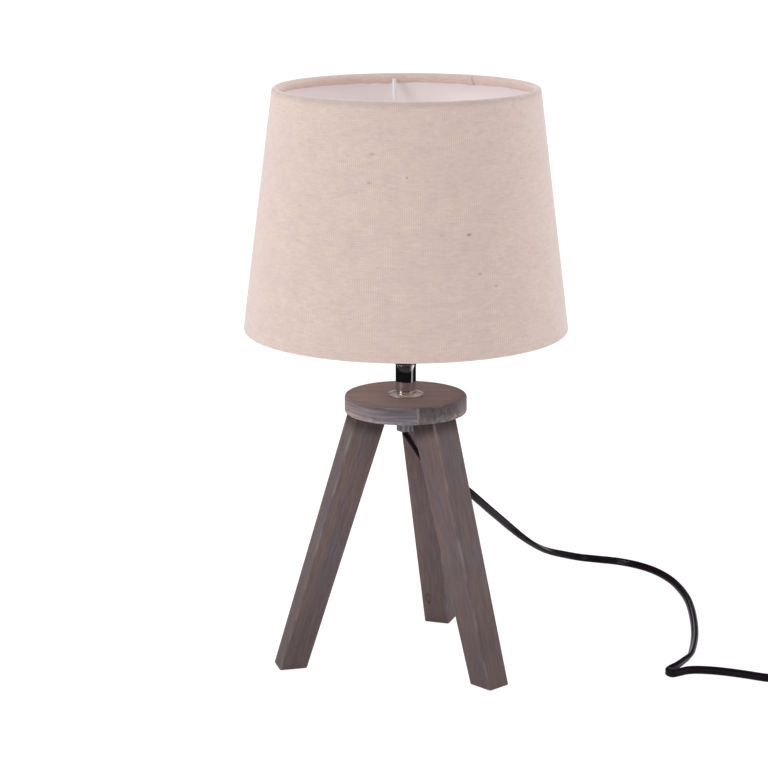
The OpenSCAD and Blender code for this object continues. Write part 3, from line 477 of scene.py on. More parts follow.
        # Scuffs that rubbed the stain off low on the rim, most at its left and right.
        scuff_place = add(tree, "Mapping", {"Vector": place, "Scale": (1 / 3.5, 1 / 3.5, 1 / 1.4)})
        scuffs = add(tree, "TexNoise", {
            "Vector": scuff_place, "Scale": 1, "Detail": 4, "Roughness": 0.7})
        worn_through = add(tree, "MapRange", {"Value": scuffs, "From Min": 0.44, "From Max": 0.64})
        low_down = add(tree, "MapRange", {
            "Value": edge_parts.outputs["Y"], "From Min": -0.1, "From Max": -0.8, "To Max": 0.75})
        aside = add(tree, "Math", {0: where.outputs["X"]}, operation="ABSOLUTE")
        more = add(tree, "MapRange", {
            "Value": aside, "From Min": 10, "From Max": 34, "To Min": 0.35})
        here = add(tree, "Math", {0: worn_through, 1: low_down}, operation="MULTIPLY")
        scuffed = add(tree, "Math", {0: here, 1: more}, operation="MULTIPLY")
        rim_done = add(tree, "MixRGB", {"Fac": scuffed, "Color1": jointed, "Color2": "#bcb1b2"})
        side = add(tree, "MapRange", {
            "Value": edge_parts.outputs["X"], "From Min": 0.8, "From Max": 0.9})
        colour = add(tree, "MixRGB", {"Fac": side, "Color1": lit_top, "Color2": rim_done})
    else:
        # Painted shadow of the top darkens each leg just under it, and the leg is darker
        # towards the foot.
        down = add(tree, "SeparateXYZ", {"Vector": place})
        painted_top_shadow = add(tree, "MapRange", {
            "Value": down.outputs["X"], "From Min": 6, "From Max": 15, "To Min": 0.5,
            "To Max": 1.04}, interpolation_type="SMOOTHSTEP")
        to_foot = add(tree, "MapRange", {
            "Value": down.outputs["X"], "From Min": 90, "From Max": 165, "To Min": 1.0,
            "To Max": 0.82})
        depth = add(tree, "Math", {0: painted_top_shadow, 1: to_foot}, operation="MULTIPLY")
        colour = add(tree, "VectorMath", {0: colour, "Scale": depth}, operation="SCALE")
    if knot:
        # A small tight knot with a dark ring round it.
        off = add(tree, "VectorMath", {0: place, 1: knot}, operation="SUBTRACT")
        oval = add(tree, "VectorMath", {0: off, 1: (0.5, 1, 1.25)}, operation="MULTIPLY")
        away = add(tree, "VectorMath", {0: oval}, operation="LENGTH")
        ring = add(tree, "Math", {0: away.outputs["Value"], 1: 1.9, 2: 0.7}, operation="COMPARE")
        ring_tint = add(tree, "Math", {0: ring, 1: 0.5}, operation="MULTIPLY")
        colour = add(tree, "MixRGB", {"Fac": ring_tint, "Color1": colour, "Color2": "#3e3436"})
    sides = add(tree, "VectorMath", {0: near}, operation="ABSOLUTE")
    parts = add(tree, "SeparateXYZ", {"Vector": sides})
    both = add(tree, "Math", {0: parts.outputs["X"], 1: parts.outputs["Y"]}, operation="MINIMUM")
    rubbed_spots = add(tree, "Mapping", {"Vector": grain, "Scale": (1 / 16, 1 / 5, 1 / 5)})
    spots = add(tree, "TexNoise", {"Vector": rubbed_spots, "Scale": 1, "Detail": 4})
    at_edge = add(tree, "MapRange", {"Value": both, "From Min": 0.84, "From Max": 0.96})
    patchy = add(tree, "MapRange", {"Value": spots, "From Min": 0.46, "From Max": 0.66})
    rubbed = add(tree, "Math", {0: at_edge, 1: patchy}, operation="MULTIPLY")
    thin = add(tree, "Math", {0: rubbed, 1: rub}, operation="MULTIPLY")
    worn = add(tree, "MixRGB", {"Fac": thin, "Color1": colour, "Color2": "#b0a6a5"})
    relief = add(tree, "Math", {0: pores, 1: 1.5, 2: streaks}, operation="MULTIPLY_ADD")
    bump = add(tree, "Bump", {"Height": relief, "Strength": 0.35, "Distance": 0.25 * MM})
    dull = add(tree, "MapRange", {"Value": pores, "To Min": 0.5, "To Max": 0.78})
    surface(tree, {
        "Base Color": worn, "Roughness": dull, "Normal": bump, "Specular IOR Level": 0.35})
    return made


top_low, top_high = (corner.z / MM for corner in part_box("top_disc"))
top_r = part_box("top_disc")[1].x / MM
top_bore_r = 5.3
top_edge_r = 1.5
top_middle = (top_low + top_high) / 2
rim_start = top_r - 4 * top_edge_r
finger_joint_x = 6.9
grain_turn = math.radians(-2)
bm = spun([(top_bore_r, top_low), (top_r, top_low), (top_r, top_high), (top_bore_r, top_high)],
          steps=192)
outer_edges = [e for e in bm.edges if e.is_manifold and e.calc_face_angle(0) > 1
               and min(v.co.xy.length for v in e.verts) > (top_r - 1) * MM]
bmesh.ops.bevel(bm, geom=outer_edges, offset=top_edge_r * MM, offset_type="OFFSET",
                affect="EDGES", segments=6, profile=0.5, material=-1)
board_turn = Matrix.Rotation(grain_turn, 3, "Z")
set_grain(bm, lambda co: board_turn @ co,
          lambda mm: Vector((max(0, (mm.xy.length - rim_start) / (top_r - rim_start)),
                             (mm.z - top_middle) / (top_high - top_middle), 0)))
top_pine = washed_pine("washed_pine_top", (40, 3, 9), brown="#856c62", grey="#77645e", rub=0.5,
                       rim_joint=finger_joint_x)
add_piece("wooden_top", bm, top_pine, "stand", ["top_disc"], sharp=50)


# ---- Legs ----------------------------------------------------------------------------
# Three square pine bars, tapered to the foot with eased edges and stained like the top, and
# cut level at the top and the pads. A bolt in a threaded insert and a dowel hold each.
leg_top_w = 21.7
leg_foot_w = 18.4
leg_top_out = 27.22
leg_edge_r = 1.2
leg_end_r = 0.5
leg_lean = math.radians(17.5)
leg_turns = {"leg_rear": 71.7, "leg_left": 195.8, "leg_right": 313.8}
# Where in the pine each leg was cut, and where on it a knot is, in mm.
leg_grain = {"leg_rear": ((11, 4, 30), (161.4, 9.4, 4.4)), "leg_left": ((250, 44, 61), None),
             "leg_right": ((420, 82, 17), None)}
for leg, turn in leg_turns.items():
    low, high = (corner.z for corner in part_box(leg))
    to_world = (Matrix.Rotation(math.radians(turn), 4, "Z")
                @ Matrix.Translation((leg_top_out * MM, 0, high))
                @ Matrix.Rotation(math.pi - leg_lean, 4, "Y"))
    to_leg = to_world.inverted()
    length = (high - low) / math.cos(leg_lean)
    spare = leg_top_w * MM

    def half_width(down):
        """Half the leg's width, some way down from the top."""
        return (leg_top_w + (leg_foot_w - leg_top_w) * down / length) / 2 * MM

    bm = bmesh.new()
    bmesh.ops.create_cube(bm, size=1, matrix=Matrix.Translation((0, 0, length / 2))
                          @ Matrix.Diagonal((1, 1, length + 2 * spare, 1)))
    for v in bm.verts:
        v.co.xy *= 2 * half_width(v.co.z)
    long_edges = [e for e in bm.edges if abs(e.verts[0].co.z - e.verts[1].co.z) > length / 2]
    bmesh.ops.bevel(bm, geom=long_edges, offset=leg_edge_r * MM, offset_type="OFFSET",
                    affect="EDGES", segments=4, profile=0.5, material=-1)
    bm.transform(to_world)
    for height, up in ((high, 1), (low, -1)):
        cut = bmesh.ops.bisect_plane(bm, geom=bm.verts[:] + bm.edges[:] + bm.faces[:],
                                     plane_co=(0, 0, height), plane_no=(0, 0, up), clear_outer=True)
        rim = [g for g in cut["geom_cut"] if isinstance(g, bmesh.types.BMEdge)]
        bmesh.ops.edgeloop_fill(bm, edges=rim)
    foot_edges = [e for e in bm.edges if all(v.co.z < low + 1e-5 for v in e.verts)]
    bmesh.ops.bevel(bm, geom=foot_edges, offset=leg_end_r * MM, offset_type="OFFSET",
                    affect="EDGES", segments=2, profile=0.5, material=-1)
    bmesh.ops.recalc_face_normals(bm, faces=bm.faces)
    set_grain(bm, lambda co: Vector(((to_leg @ co).z, (to_leg @ co).x, (to_leg @ co).y)),
              lambda mm: (to_leg @ (mm * MM)) / half_width((to_leg @ (mm * MM)).z))
    shift, knot = leg_grain[leg]
    add_piece("wooden_" + leg, bm, washed_pine("washed_pine_" + leg, shift, knot=knot), "stand",
              [leg], sharp=50)


# ---- Foot pads -----------------------------------------------------------------------
# Punched discs of black non-slip rubber, glued under the legs.
def punched_rubber():
    # Cellular rubber: near black and dull, with a fine open grain.
    made, tree = new_material("punched_black_rubber")
    place = add(tree, "TexCoord", {}).outputs["Object"]
    cells = add(tree, "TexNoise", {"Vector": place, "Scale": 1 / (0.6 * MM), "Detail": 3})
    tint = add(tree, "MixRGB", {"Fac": cells, "Color1": "#241f23", "Color2": "#3a3238"})
    bump = add(tree, "Bump", {"Height": cells, "Strength": 0.4, "Distance": 0.1 * MM})
    surface(tree, {"Base Color": tint, "Roughness": 0.8, "Normal": bump})
    return made


black_rubber = punched_rubber()
pad_edge_r = 0.35
for pad in ("foot_pad_rear", "foot_pad_left", "foot_pad_right"):
    low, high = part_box(pad)
    pad_r = (high.x - low.x) / 2
    bm = bmesh.new()
    bmesh.ops.create_cone(bm, cap_ends=True, segments=64, radius1=pad_r, radius2=pad_r,
                          depth=high.z - low.z, matrix=Matrix.Translation((low + high) / 2))
    add_piece("rubber_" + pad, ease(bm, pad_edge_r, segments=3), black_rubber, "stand",
              [pad])


# ---- Leg fixings ---------------------------------------------------------------------
# Zinc-plated hanger bolts run in brass inserts pressed into the top, with a beech dowel
# beside each; all of them are inside the wood.
def plated(name, light, dark, smooth_low, smooth_high, grit, relief=0.1, metal=1.0):
    # Turned and plated metal: fine tool marks, with their grit in mm, and faint cloudy
    # patches. Where oxide has dulled it, as on a casting, it is less than all metal.
    made, tree = new_material(name)
    place = add(tree, "TexCoord", {}).outputs["Object"]
    marks = add(tree, "Mapping", {
        "Vector": place, "Scale": (0.15 / (grit * MM), 0.15 / (grit * MM), 1 / (grit * MM))})
    tool = add(tree, "TexNoise", {"Vector": marks, "Scale": 1, "Detail": 2})
    cloud = add(tree, "TexNoise", {"Vector": place, "Scale": 1 / (3 * MM), "Detail": 3})
    tint = add(tree, "MixRGB", {"Fac": cloud, "Color1": light, "Color2": dark})
    rough = add(tree, "MapRange", {
        "Value": cloud, "From Min": 0.3, "From Max": 0.7, "To Min": smooth_low,
        "To Max": smooth_high})
    bump = add(tree, "Bump", {"Height": tool, "Strength": relief, "Distance": 0.05 * MM})
    surface(tree, {"Base Color": tint, "Metallic": metal, "Roughness": rough, "Normal": bump})
    return made


def beech_wood():
    # Beech: pale pinkish brown with short dark flecks along the grain.
    made, tree = new_material("turned_beech")
    place = add(tree, "TexCoord", {}).outputs["Object"]
    along = add(tree, "Mapping", {"Vector": place, "Scale": (1300, 1300, 260)})
    fleck = add(tree, "TexNoise", {"Vector": along, "Scale": 1, "Detail": 3})
    tint = add(tree, "MixRGB", {"Fac": fleck, "Color1": "#b98f68", "Color2": "#dcbd97"})
    surface(tree, {"Base Color": tint, "Roughness": 0.6})
    return made


def finish(material, *nodes):
    """Gives CAD nodes whose shape is right their material."""
    for node in nodes:
        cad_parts[node].material_slots[0].material = material


zinc = plated("zinc_plated_steel", "#c6c7ca", "#9c9ea3", 0.28, 0.45, 0.25)
brass = plated("turned_brass", "#d8b565", "#b08a3e", 0.22, 0.4, 0.2)
finish(zinc, "leg_bolts")
finish(brass, "leg_inserts")
finish(beech_wood(), "leg_dowels")


# ---- Stack under the top -------------------------------------------------------------
# A washer and a hexagon nut on the hollow threaded rod clamp the top, and a knurled
# die-cast grip below them holds the cord.
def softened(node, name, width, material, body, segments=2):
    """A piece with a CAD node's shape, whose hard edges are rounded by a width in mm."""
    bm = bmesh.new()
    bm.from_mesh(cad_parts[node].data)
    bmesh.ops.remove_doubles(bm, verts=bm.verts, dist=1e-5)
    bmesh.ops.dissolve_limit(bm, angle_limit=math.radians(1), verts=bm.verts, edges=bm.edges)
    return add_piece(name, ease(bm, width, segments), material, body, [node])


die_cast = plated("die_cast_zinc", "#d2cdcf", "#6d686b", 0.3, 0.5, 0.5, relief=0.5, metal=0.45)
softened("bottom_washer", "washer", 0.2, zinc, "stand")
softened("hex_nut", "hexagon_nut", 0.4, zinc, "stand")
softened("cord_grip", "knurled_grip", 0.15, die_cast, "stand", segments=1)
finish(zinc, "threaded_rod")
finish(black_pvc, "cord_inner")


# ---- Stem ----------------------------------------------------------------------------
# A chromed tube stands in a dished cover plate over the rod, under a ring nut.
def chrome_plate(name, code, smooth_low, smooth_high):
    # Bright chrome over drawn brass: a clear mirror with faint smears and orange peel.
    made, tree = new_material(name)
    place = add(tree, "TexCoord", {}).outputs["Object"]
    smear = add(tree, "TexNoise", {
        "Vector": place, "Scale": 1 / (5 * MM), "Detail": 4, "Roughness": 0.6})
    rough = add(tree, "MapRange", {
        "Value": smear, "From Min": 0.45, "From Max": 0.7, "To Min": smooth_low,
        "To Max": smooth_high})
    peel = add(tree, "TexNoise", {"Vector": place, "Scale": 1 / (2.5 * MM)})
    bump = add(tree, "Bump", {"Height": peel, "Strength": 0.12, "Distance": 0.1 * MM})
    surface(tree, {"Base Color": code, "Metallic": 1.0, "Roughness": rough, "Normal": bump})
    return made


chrome = chrome_plate("bright_chrome", "#dcdadc", 0.04, 0.16)
# Duller chrome, tinted warm, for the cover plate.
dull_warm_chrome = chrome_plate("warm_dull_chrome", "#bfb4ae", 0.26, 0.38)
stem_foot, stem_head = (corner.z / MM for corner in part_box("stem_tube"))
plate_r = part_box("stem_flange")[1].x / MM
plate_h = (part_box("stem_flange")[1].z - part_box("stem_flange")[0].z) / MM
tube_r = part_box("stem_tube")[1].x / MM
tube_wall = 1
hub_r = tube_r + 0.05
hub_flat = 1.2
rim_h = 0.5
dish_r = plate_r - 0.4
dish_h = 0.8
dish = [(dish_r - (dish_r - hub_r - hub_flat) * t,
         stem_foot + dish_h + (plate_h - dish_h) * t * t * (3 - 2 * t))
        for t in (0, 0.25, 0.5, 0.75, 1)]
plate = ([(hub_r, stem_foot), (plate_r, stem_foot), (plate_r, stem_foot + rim_h)] + dish
         + [(hub_r, stem_foot + plate_h)])
tube = [(tube_r - tube_wall, stem_foot), (tube_r, stem_foot), (tube_r, stem_head),
        (tube_r - tube_wall, stem_head)]
plate_edge_r, tube_edge_r = 0.15, 0.2
add_piece("cover_plate", ease(spun(plate, steps=128), plate_edge_r, angle=40), dull_warm_chrome,
          "stand", ["stem_flange"], sharp=50)
add_piece("chromed_tube", ease(spun(tube, steps=128), tube_edge_r), chrome, "stand",
          ["stem_tube"])
softened("stem_collar", "ring_nut", 0.2, chrome, "stand")


# ---- Lampholder ----------------------------------------------------------------------
# A white moulded holder: its base cup is screwed on the rod, its upper part carries the
# thread for the shade ring, and the brass contacts and terminals sit inside.
def moulded(name, code, shine, sparkle=0.35):
    # Injection-moulded plastic with a fine spark-eroded grain.
    made, tree = new_material(name)
    place = add(tree, "TexCoord", {}).outputs["Object"]
    grain = add(tree, "TexNoise", {"Vector": place, "Scale": 1 / (sparkle * MM), "Detail": 2})
    flow = add(tree, "TexNoise", {"Vector": place, "Scale": 1 / (14 * MM), "Detail": 2})
    tone = add(tree, "MapRange", {"Value": flow, "To Min": 0.9, "To Max": 1.06})
    colour = add(tree, "VectorMath", {0: linear(code)[:3], "Scale": tone}, operation="SCALE")
    rough = add(tree, "MapRange", {"Value": grain, "To Min": shine - 0.08, "To Max": shine + 0.1})
    bump = add(tree, "Bump", {"Height": grain, "Strength": 0.15, "Distance": 0.06 * MM})
    surface(tree, {"Base Color": colour, "Roughness": rough, "Normal": bump})
    return made


def insulation():
    # Silicone sleeving: satin grey-blue, drawn along its length.
    made, tree = new_material("silicone_sleeving")
    place = add(tree, "TexCoord", {}).outputs["Object"]
    drawn = add(tree, "TexNoise", {"Vector": place, "Scale": 1 / (0.8 * MM)})
    tint = add(tree, "MixRGB", {"Fac": drawn, "Color1": "#7e93a9", "Color2": "#9fb1c3"})
    surface(tree, {"Base Color": tint, "Roughness": 0.45})
    return made


white_plastic = moulded("white_moulded_polyester", "#ece9e2", 0.38)
carrier_plastic = moulded("cream_moulded_steatite", "#ddd8c8", 0.5)
softened("holder_base", "holder_cup", 0.5, white_plastic, "stand")
softened("holder_body", "holder_sleeve", 0.3, white_plastic, "stand")
finish(carrier_plastic, "contact_carrier")
finish(brass, "centre_contact", "side_contacts", "terminals")
finish(zinc, "terminal_screws")
finish(insulation(), "lamp_leads")

# The ring that clamps the shade on its seat, ribbed for the fingers.
softened("shade_ring", "ribbed_ring", 0.2, white_plastic, "shade_ring")


# ---- Bulb ----------------------------------------------------------------------------
# A small LED bulb: a nickelled screw cap with its glass and foot contact, a white neck
# with the board on top, and an opal globe clipped on.
def opal_shell():
    # Opal polycarbonate: white with depth under a clear satin skin.
    made, tree = new_material("opal_polycarbonate")
    place = add(tree, "TexCoord", {}).outputs["Object"]
    depth = add(tree, "TexNoise", {"Vector": place, "Scale": 1 / (9 * MM)})
    tint = add(tree, "MixRGB", {"Fac": depth, "Color1": "#f4f2ec", "Color2": "#e9e7e2"})
    surface(tree, {
        "Base Color": tint, "Roughness": 0.22, "Subsurface Weight": 0.15,
        "Subsurface Radius": (0.004, 0.004, 0.004), "Subsurface Scale": 1.0})
    return made


def black_glass():
    # Pressed black glass: a hard deep gloss with a few seeds.
    made, tree = new_material("pressed_black_glass")
    place = add(tree, "TexCoord", {}).outputs["Object"]
    seeds = add(tree, "TexVoronoi", {"Vector": place, "Scale": 1 / (1.2 * MM)})
    rough = add(tree, "MapRange", {
        "Value": seeds.outputs["Distance"], "To Min": 0.2, "To Max": 0.05})
    surface(tree, {"Base Color": "#141217", "Roughness": rough, "IOR": 1.52})
    return made


def board_lacquer():
    # White solder lacquer over glass cloth, which shows as a faint grid.
    made, tree = new_material("white_board_lacquer")
    place = add(tree, "TexCoord", {}).outputs["Object"]
    cloth = add(tree, "TexChecker", {
        "Vector": place, "Scale": 1 / (0.6 * MM), "Color1": "#ecebe4", "Color2": "#dddcd3"})
    surface(tree, {"Base Color": cloth, "Roughness": 0.35})
    return made


nickel = plated("nickelled_brass", "#d4cfc6", "#b2aca2", 0.15, 0.3, 0.3)
finish(nickel, "bulb_cap", "bulb_contact")
finish(black_glass(), "bulb_insulator")
finish(board_lacquer(), "led_board")
globe_low, globe_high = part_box("bulb_globe")
globe_r = globe_high.x / MM
globe_z = globe_high.z / MM - globe_r
shell = 1.2
globe_steps = 28
mouth_angle = math.asin((globe_low.z / MM - globe_z) / globe_r)
inner_mouth_angle = math.asin((globe_low.z / MM - globe_z) / (globe_r - shell))


def arc(centre, r, start, end, steps):
    """Places on an arc about a centre, from one angle to another."""
    return [(centre[0] + r * math.cos(start + (end - start) * i / steps),
             centre[1] + r * math.sin(start + (end - start) * i / steps)) for i in range(steps + 1)]


add_piece("opal_globe",
          spun(arc((0, globe_z), globe_r, mouth_angle, math.pi / 2, globe_steps)
               + arc((0, globe_z), globe_r - shell, math.pi / 2, inner_mouth_angle,
                     globe_steps)),
          opal_shell(), "bulb", ["bulb_globe"], sharp=60)
softened("bulb_neck", "bulb_neck_shell", 0.5, white_plastic, "bulb")


# ---- Shade frame ---------------------------------------------------------------------
# White-lacquered steel wire: a ring in each rim, and three arms from the upper ring down
# to the flat fitter ring that sits on the lampholder.
def wire_lacquer():
    # Stove lacquer on wire: white and glossy, slightly uneven where it ran.
    made, tree = new_material("white_stove_lacquer")
    place = add(tree, "TexCoord", {}).outputs["Object"]
    runs = add(tree, "TexNoise", {"Vector": place, "Scale": 1 / (4 * MM), "Detail": 2})
    tint = add(tree, "MixRGB", {"Fac": runs, "Color1": "#e6e6ea", "Color2": "#f3f3f6"})
    bump = add(tree, "Bump", {"Height": runs, "Strength": 0.2, "Distance": 0.2 * MM})
    surface(tree, {"Base Color": tint, "Roughness": 0.3, "Normal": bump})
    return made


white_lacquer = wire_lacquer()
wire_d = 3
shade_foot, shade_head = (corner.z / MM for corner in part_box("shade_fabric"))
shade_foot_r = 111
shade_head_r = 90
shade_taper = (shade_foot_r - shade_head_r) / (shade_head - shade_foot)
shade_lean = math.atan(shade_taper)
hem_r = 2.25
rims = [(shade_foot_r - shade_taper * (z - shade_foot) - hem_r / math.cos(shade_lean), z)
        for z in (shade_foot + hem_r, shade_head - hem_r)]
finish(white_lacquer, "shade_top_ring", "shade_bottom_ring")
softened("fitter_ring", "flat_fitter_ring", 0.5, white_lacquer, "shade")
arm_turns = {"shade_arm_back": 95.7, "shade_arm_left": 215.7, "shade_arm_right": 335.7}
fitter_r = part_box("fitter_ring")[1].x / MM
foot_z = (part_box("fitter_ring")[0].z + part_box("fitter_ring")[1].z) / 2 / MM
rim_in, rim_z = rims[1][0] - hem_r + 0.3, rims[1][1]
reach = [(fitter_r - 1.6, foot_z + 2.2), (fitter_r + 1.5, foot_z + 2.4), (fitter_r + 6, foot_z + 8),
         (rim_in - 8, rim_z - 24), (rim_in - 1.6, rim_z - 9), (rim_in, rim_z - 1.5)]
for arm, turn in arm_turns.items():
    out = Matrix.Rotation(math.radians(turn), 3, "Z") @ Vector((1, 0, 0))
    curve = bpy.data.curves.new(arm + "_wire", "CURVE")
    curve.dimensions = "3D"
    curve.bevel_depth = wire_d / 2 * MM
    curve.bevel_resolution = 5
    curve.resolution_u = 8
    curve.use_fill_caps = True
    spline = curve.splines.new("BEZIER")
    spline.bezier_points.add(len(reach) - 1)
    for point, (r, z) in zip(spline.bezier_points, reach):
        point.co = out * r * MM + Vector((0, 0, z * MM))
        point.handle_left_type = point.handle_right_type = "AUTO"
    curve.materials.append(white_lacquer)
    wire = bpy.data.objects.new(arm + "_wire", curve)
    bpy.context.scene.collection.objects.link(wire)
    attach(wire, "shade")
    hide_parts(arm)


# ---- Shade cover ---------------------------------------------------------------------
# One piece of linen glued round the liner, its edges rolled over the rim wires and stuck
# down inside, and its ends lapped in an upright seam at the back.

# Specks of flax: place on the cloth in mm, half length in mm, and how dark.
linen_specks = [((343.4, 143.8), 2.2, 0.35), ((367, 129.1), 0.8, 0.5), ((342, 125.4), 1.5, 0.35),
                ((407.1, 91.6), 1.9, 0.55), ((413.4, 66.1), 1.4, 0.35), ((424.3, 57.3), 1, 0.35),
                ((120, 96), 1.8, 0.6), ((205.5, 52), 1.4, 0.5), ((560, 120), 1.6, 0.6)]


def natural_linen():
    # Plain-woven linen in pale pinkish beige: fine upright ribs and weft lines that come and
    # go, soft cloudy slubs along the weft, a few darker threads and specks of flax. The ribs
    # are 1.45 mm apart, as in the photograph: a wave's bands lie pi / 10 / Scale apart.
    made, tree = new_material("woven_linen")
    uv = add(tree, "UVMap", {}, uv_map="cloth")
    ribs = add(tree, "TexWave", {
        "Vector": uv, "Scale": 0.2166, "Distortion": 1.2, "Detail": 2, "Detail Scale": 0.6},
        bands_direction="X")
    weft = add(tree, "TexWave", {
        "Vector": uv, "Scale": 0.2, "Distortion": 2.5, "Detail": 3, "Detail Scale": 0.8},
        bands_direction="Y")
    patch = add(tree, "TexNoise", {"Vector": uv, "Scale": 1 / 24, "Detail": 2})
    rib_share = add(tree, "MapRange", {
        "Value": patch, "From Min": 0.4, "From Max": 0.62, "To Min": 0.3})
    weft_share = add(tree, "MapRange", {
        "Value": patch, "From Min": 0.62, "From Max": 0.42, "To Min": 0.05, "To Max": 0.38})
    slub_place = add(tree, "Mapping", {"Vector": uv, "Scale": (1 / 5.5, 1 / 1.9, 1)})
    slubs = add(tree, "TexNoise", {
        "Vector": slub_place, "Scale": 1, "Detail": 3, "Roughness": 0.6, "Distortion": 0.4})
    tones = add(tree, "TexNoise", {"Vector": uv, "Scale": 1 / 20, "Detail": 3})
    hue = add(tree, "MapRange", {"Value": tones, "From Min": 0.35, "From Max": 0.65})
    base = add(tree, "MixRGB", {"Fac": hue, "Color1": "#ddc8be", "Color2": "#dac5bd"})
    up_down = add(tree, "Math", {0: ribs.outputs["Fac"], 1: rib_share}, operation="MULTIPLY")
    weave = add(tree, "Math", {
        0: weft.outputs["Fac"], 1: weft_share, 2: up_down}, operation="MULTIPLY_ADD")
    rib_tone = add(tree, "MapRange", {"Value": weave, "To Min": 0.955, "To Max": 1.075})
    slub_tone = add(tree, "MapRange", {
        "Value": slubs, "From Min": 0.3, "From Max": 0.7, "To Min": 0.94, "To Max": 1.05})
    cloud_place = add(tree, "Mapping", {"Vector": uv, "Scale": (1 / 12, 1 / 5, 1)})
    clouds = add(tree, "TexNoise", {
        "Vector": cloud_place, "Scale": 1, "Detail": 3, "Roughness": 0.6, "Distortion": 0.6})
    cloud_tone = add(tree, "MapRange", {
        "Value": clouds, "From Min": 0.3, "From Max": 0.7, "To Min": 0.965, "To Max": 1.035})
    cloudy = add(tree, "Math", {0: rib_tone, 1: cloud_tone}, operation="MULTIPLY")
    tone = add(tree, "Math", {0: cloudy, 1: slub_tone}, operation="MULTIPLY")
    along_cloth = add(tree, "SeparateXYZ", {"Vector": uv})
    # Painted shade darkens the cloth where the top hem rolls over its wire, and painted light
    # brightens the hem's band inside the shade.
    painted_roll_shade = add(tree, "MapRange", {
        "Value": along_cloth.outputs["Y"], "From Min": 172, "From Max": 175, "To Min": 1.0,
        "To Max": 0.86})
    inside = add(tree, "MapRange", {
        "Value": along_cloth.outputs["Y"], "From Min": 178, "From Max": 181, "To Min": 1.0,
        "To Max": 1.27})
    hem_painted_light = add(tree, "Math", {0: painted_roll_shade, 1: inside}, operation="MULTIPLY")
    toned = add(tree, "Math", {0: tone, 1: hem_painted_light}, operation="MULTIPLY")
    woven = add(tree, "VectorMath", {0: base, "Scale": toned}, operation="SCALE")
    thread_place = add(tree, "Mapping", {
        "Vector": uv, "Location": (60, 9, 0), "Scale": (1 / 8, 1 / 1.5, 1)})
    threads = add(tree, "TexNoise", {"Vector": thread_place, "Scale": 1, "Detail": 2})
    thick = add(tree, "MapRange", {
        "Value": threads, "From Min": 0.64, "From Max": 0.8, "To Max": 0.5})
    colour = add(tree, "MixRGB", {"Fac": thick, "Color1": woven, "Color2": "#a9968c"})
    for place, size, depth in linen_specks:
        off = add(tree, "VectorMath", {0: uv, 1: (*place, 0)}, operation="SUBTRACT")
        oval = add(tree, "VectorMath", {0: off, 1: (1 / size, 1 / 0.9, 0)}, operation="MULTIPLY")
        away = add(tree, "VectorMath", {0: oval}, operation="LENGTH")
        dot = add(tree, "MapRange", {
            "Value": away.outputs["Value"], "From Min": 1.3, "From Max": 0.5, "To Max": depth})
        colour = add(tree, "MixRGB", {"Fac": dot, "Color1": colour, "Color2": "#86695c"})
    height = add(tree, "Math", {0: slubs, 1: 1.5, 2: weave}, operation="MULTIPLY_ADD")
    bump = add(tree, "Bump", {"Height": height, "Strength": 0.3, "Distance": 0.2 * MM})
    surface(tree, {
        "Base Color": colour, "Roughness": 0.9, "Sheen Weight": 0.6, "Sheen Roughness": 0.5,
        "Sheen Tint": "#fbf4f2", "Normal": bump, "Specular IOR Level": 0.2})
    return made


def rolled_sheet(profile, start, lap, steps, step_out):
    """A sheet wrapped round the lamp's axis from a start angle, with its end lapped over
    its start by some degrees and a step outwards in mm. Its UVs are in mm of cloth."""
    bm = bmesh.new()
    uv = bm.loops.layers.uv.new("cloth")
    place = bm.verts.layers.float_vector.new("cloth_place")
    run = 0.0
    line = []
    for i, (r, z) in enumerate(profile):
        if i:
            run += math.dist(profile[i - 1], (r, z))
        v = bm.verts.new((r * MM, 0, z * MM))
        v[place] = (0, run, 0)
        line.append(v)
    edges = [bm.edges.new(pair) for pair in zip(line, line[1:])]
    mean_r = sum(r for r, z in profile) / len(profile)
    turn = 360 + lap
    rows = [line]
    for k in range(steps):
        made = bmesh.ops.extrude_edge_only(bm, edges=edges)["geom"]
        line = [g for g in made if isinstance(g, bmesh.types.BMVert)]
        edges = [g for g in made if isinstance(g, bmesh.types.BMEdge)
                 and all(v in line for v in g.verts)]
        for v in line:
            v[place] = ((k + 1) / steps * math.radians(turn) * mean_r, v[place][1], 0)
    for v in bm.verts:
        angle = v[place][0] / mean_r
        lapped = min(1, max(0, (math.degrees(angle) - 360 + lap) / (2 * lap)))
        out = v.co.x + step_out * MM * lapped
        v.co = Matrix.Rotation(math.radians(start) + angle, 3, "Z") @ Vector((out, 0, v.co.z))
    for face in bm.faces:
        for loop in face.loops:
            loop[uv].uv = loop.vert[place][:2]
    return bm


def shade_r(z):
    """The shade's outer radius at a height, in mm."""
    return shade_foot_r - shade_taper * (z - shade_foot)


hem_wrap = math.radians(228)
hem_tail = 2.4
roll_rows = 10
wall_rows = 16
tangent_z = [rims[0][1] + hem_r * math.sin(shade_lean), rims[1][1] + hem_r * math.sin(shade_lean)]
lower_wrap = arc(rims[0], hem_r, shade_lean - hem_wrap, shade_lean, roll_rows)
upper_wrap = arc(rims[1], hem_r, shade_lean, shade_lean + hem_wrap, roll_rows)
wall = [(shade_r(z), z) for z in (tangent_z[0] + (tangent_z[1] - tangent_z[0]) * i / wall_rows
                                  for i in range(1, wall_rows))]
# The hem's tails lie on the liner's inner face, past the low and the high roll.
liner_in = 1.35
tail_in = 0.55
hem_low = shade_foot + 2 * hem_r
hem_high = shade_head - 2 * hem_r
low_tail, high_tail = ([(shade_r(z) - liner_in - tail_in, z) for z in heights] for heights in (
    (hem_low + hem_tail, hem_low + hem_tail / 2), (hem_high - hem_tail / 2, hem_high - hem_tail)))
cover_profile = low_tail + lower_wrap + wall + upper_wrap + high_tail
seam_turn, seam_lap, seam_step, cover_steps = 57.7, 4.5, 0.55, 300
cloth_t = 0.45
bm = rolled_sheet(cover_profile, seam_turn, seam_lap, cover_steps, seam_step)
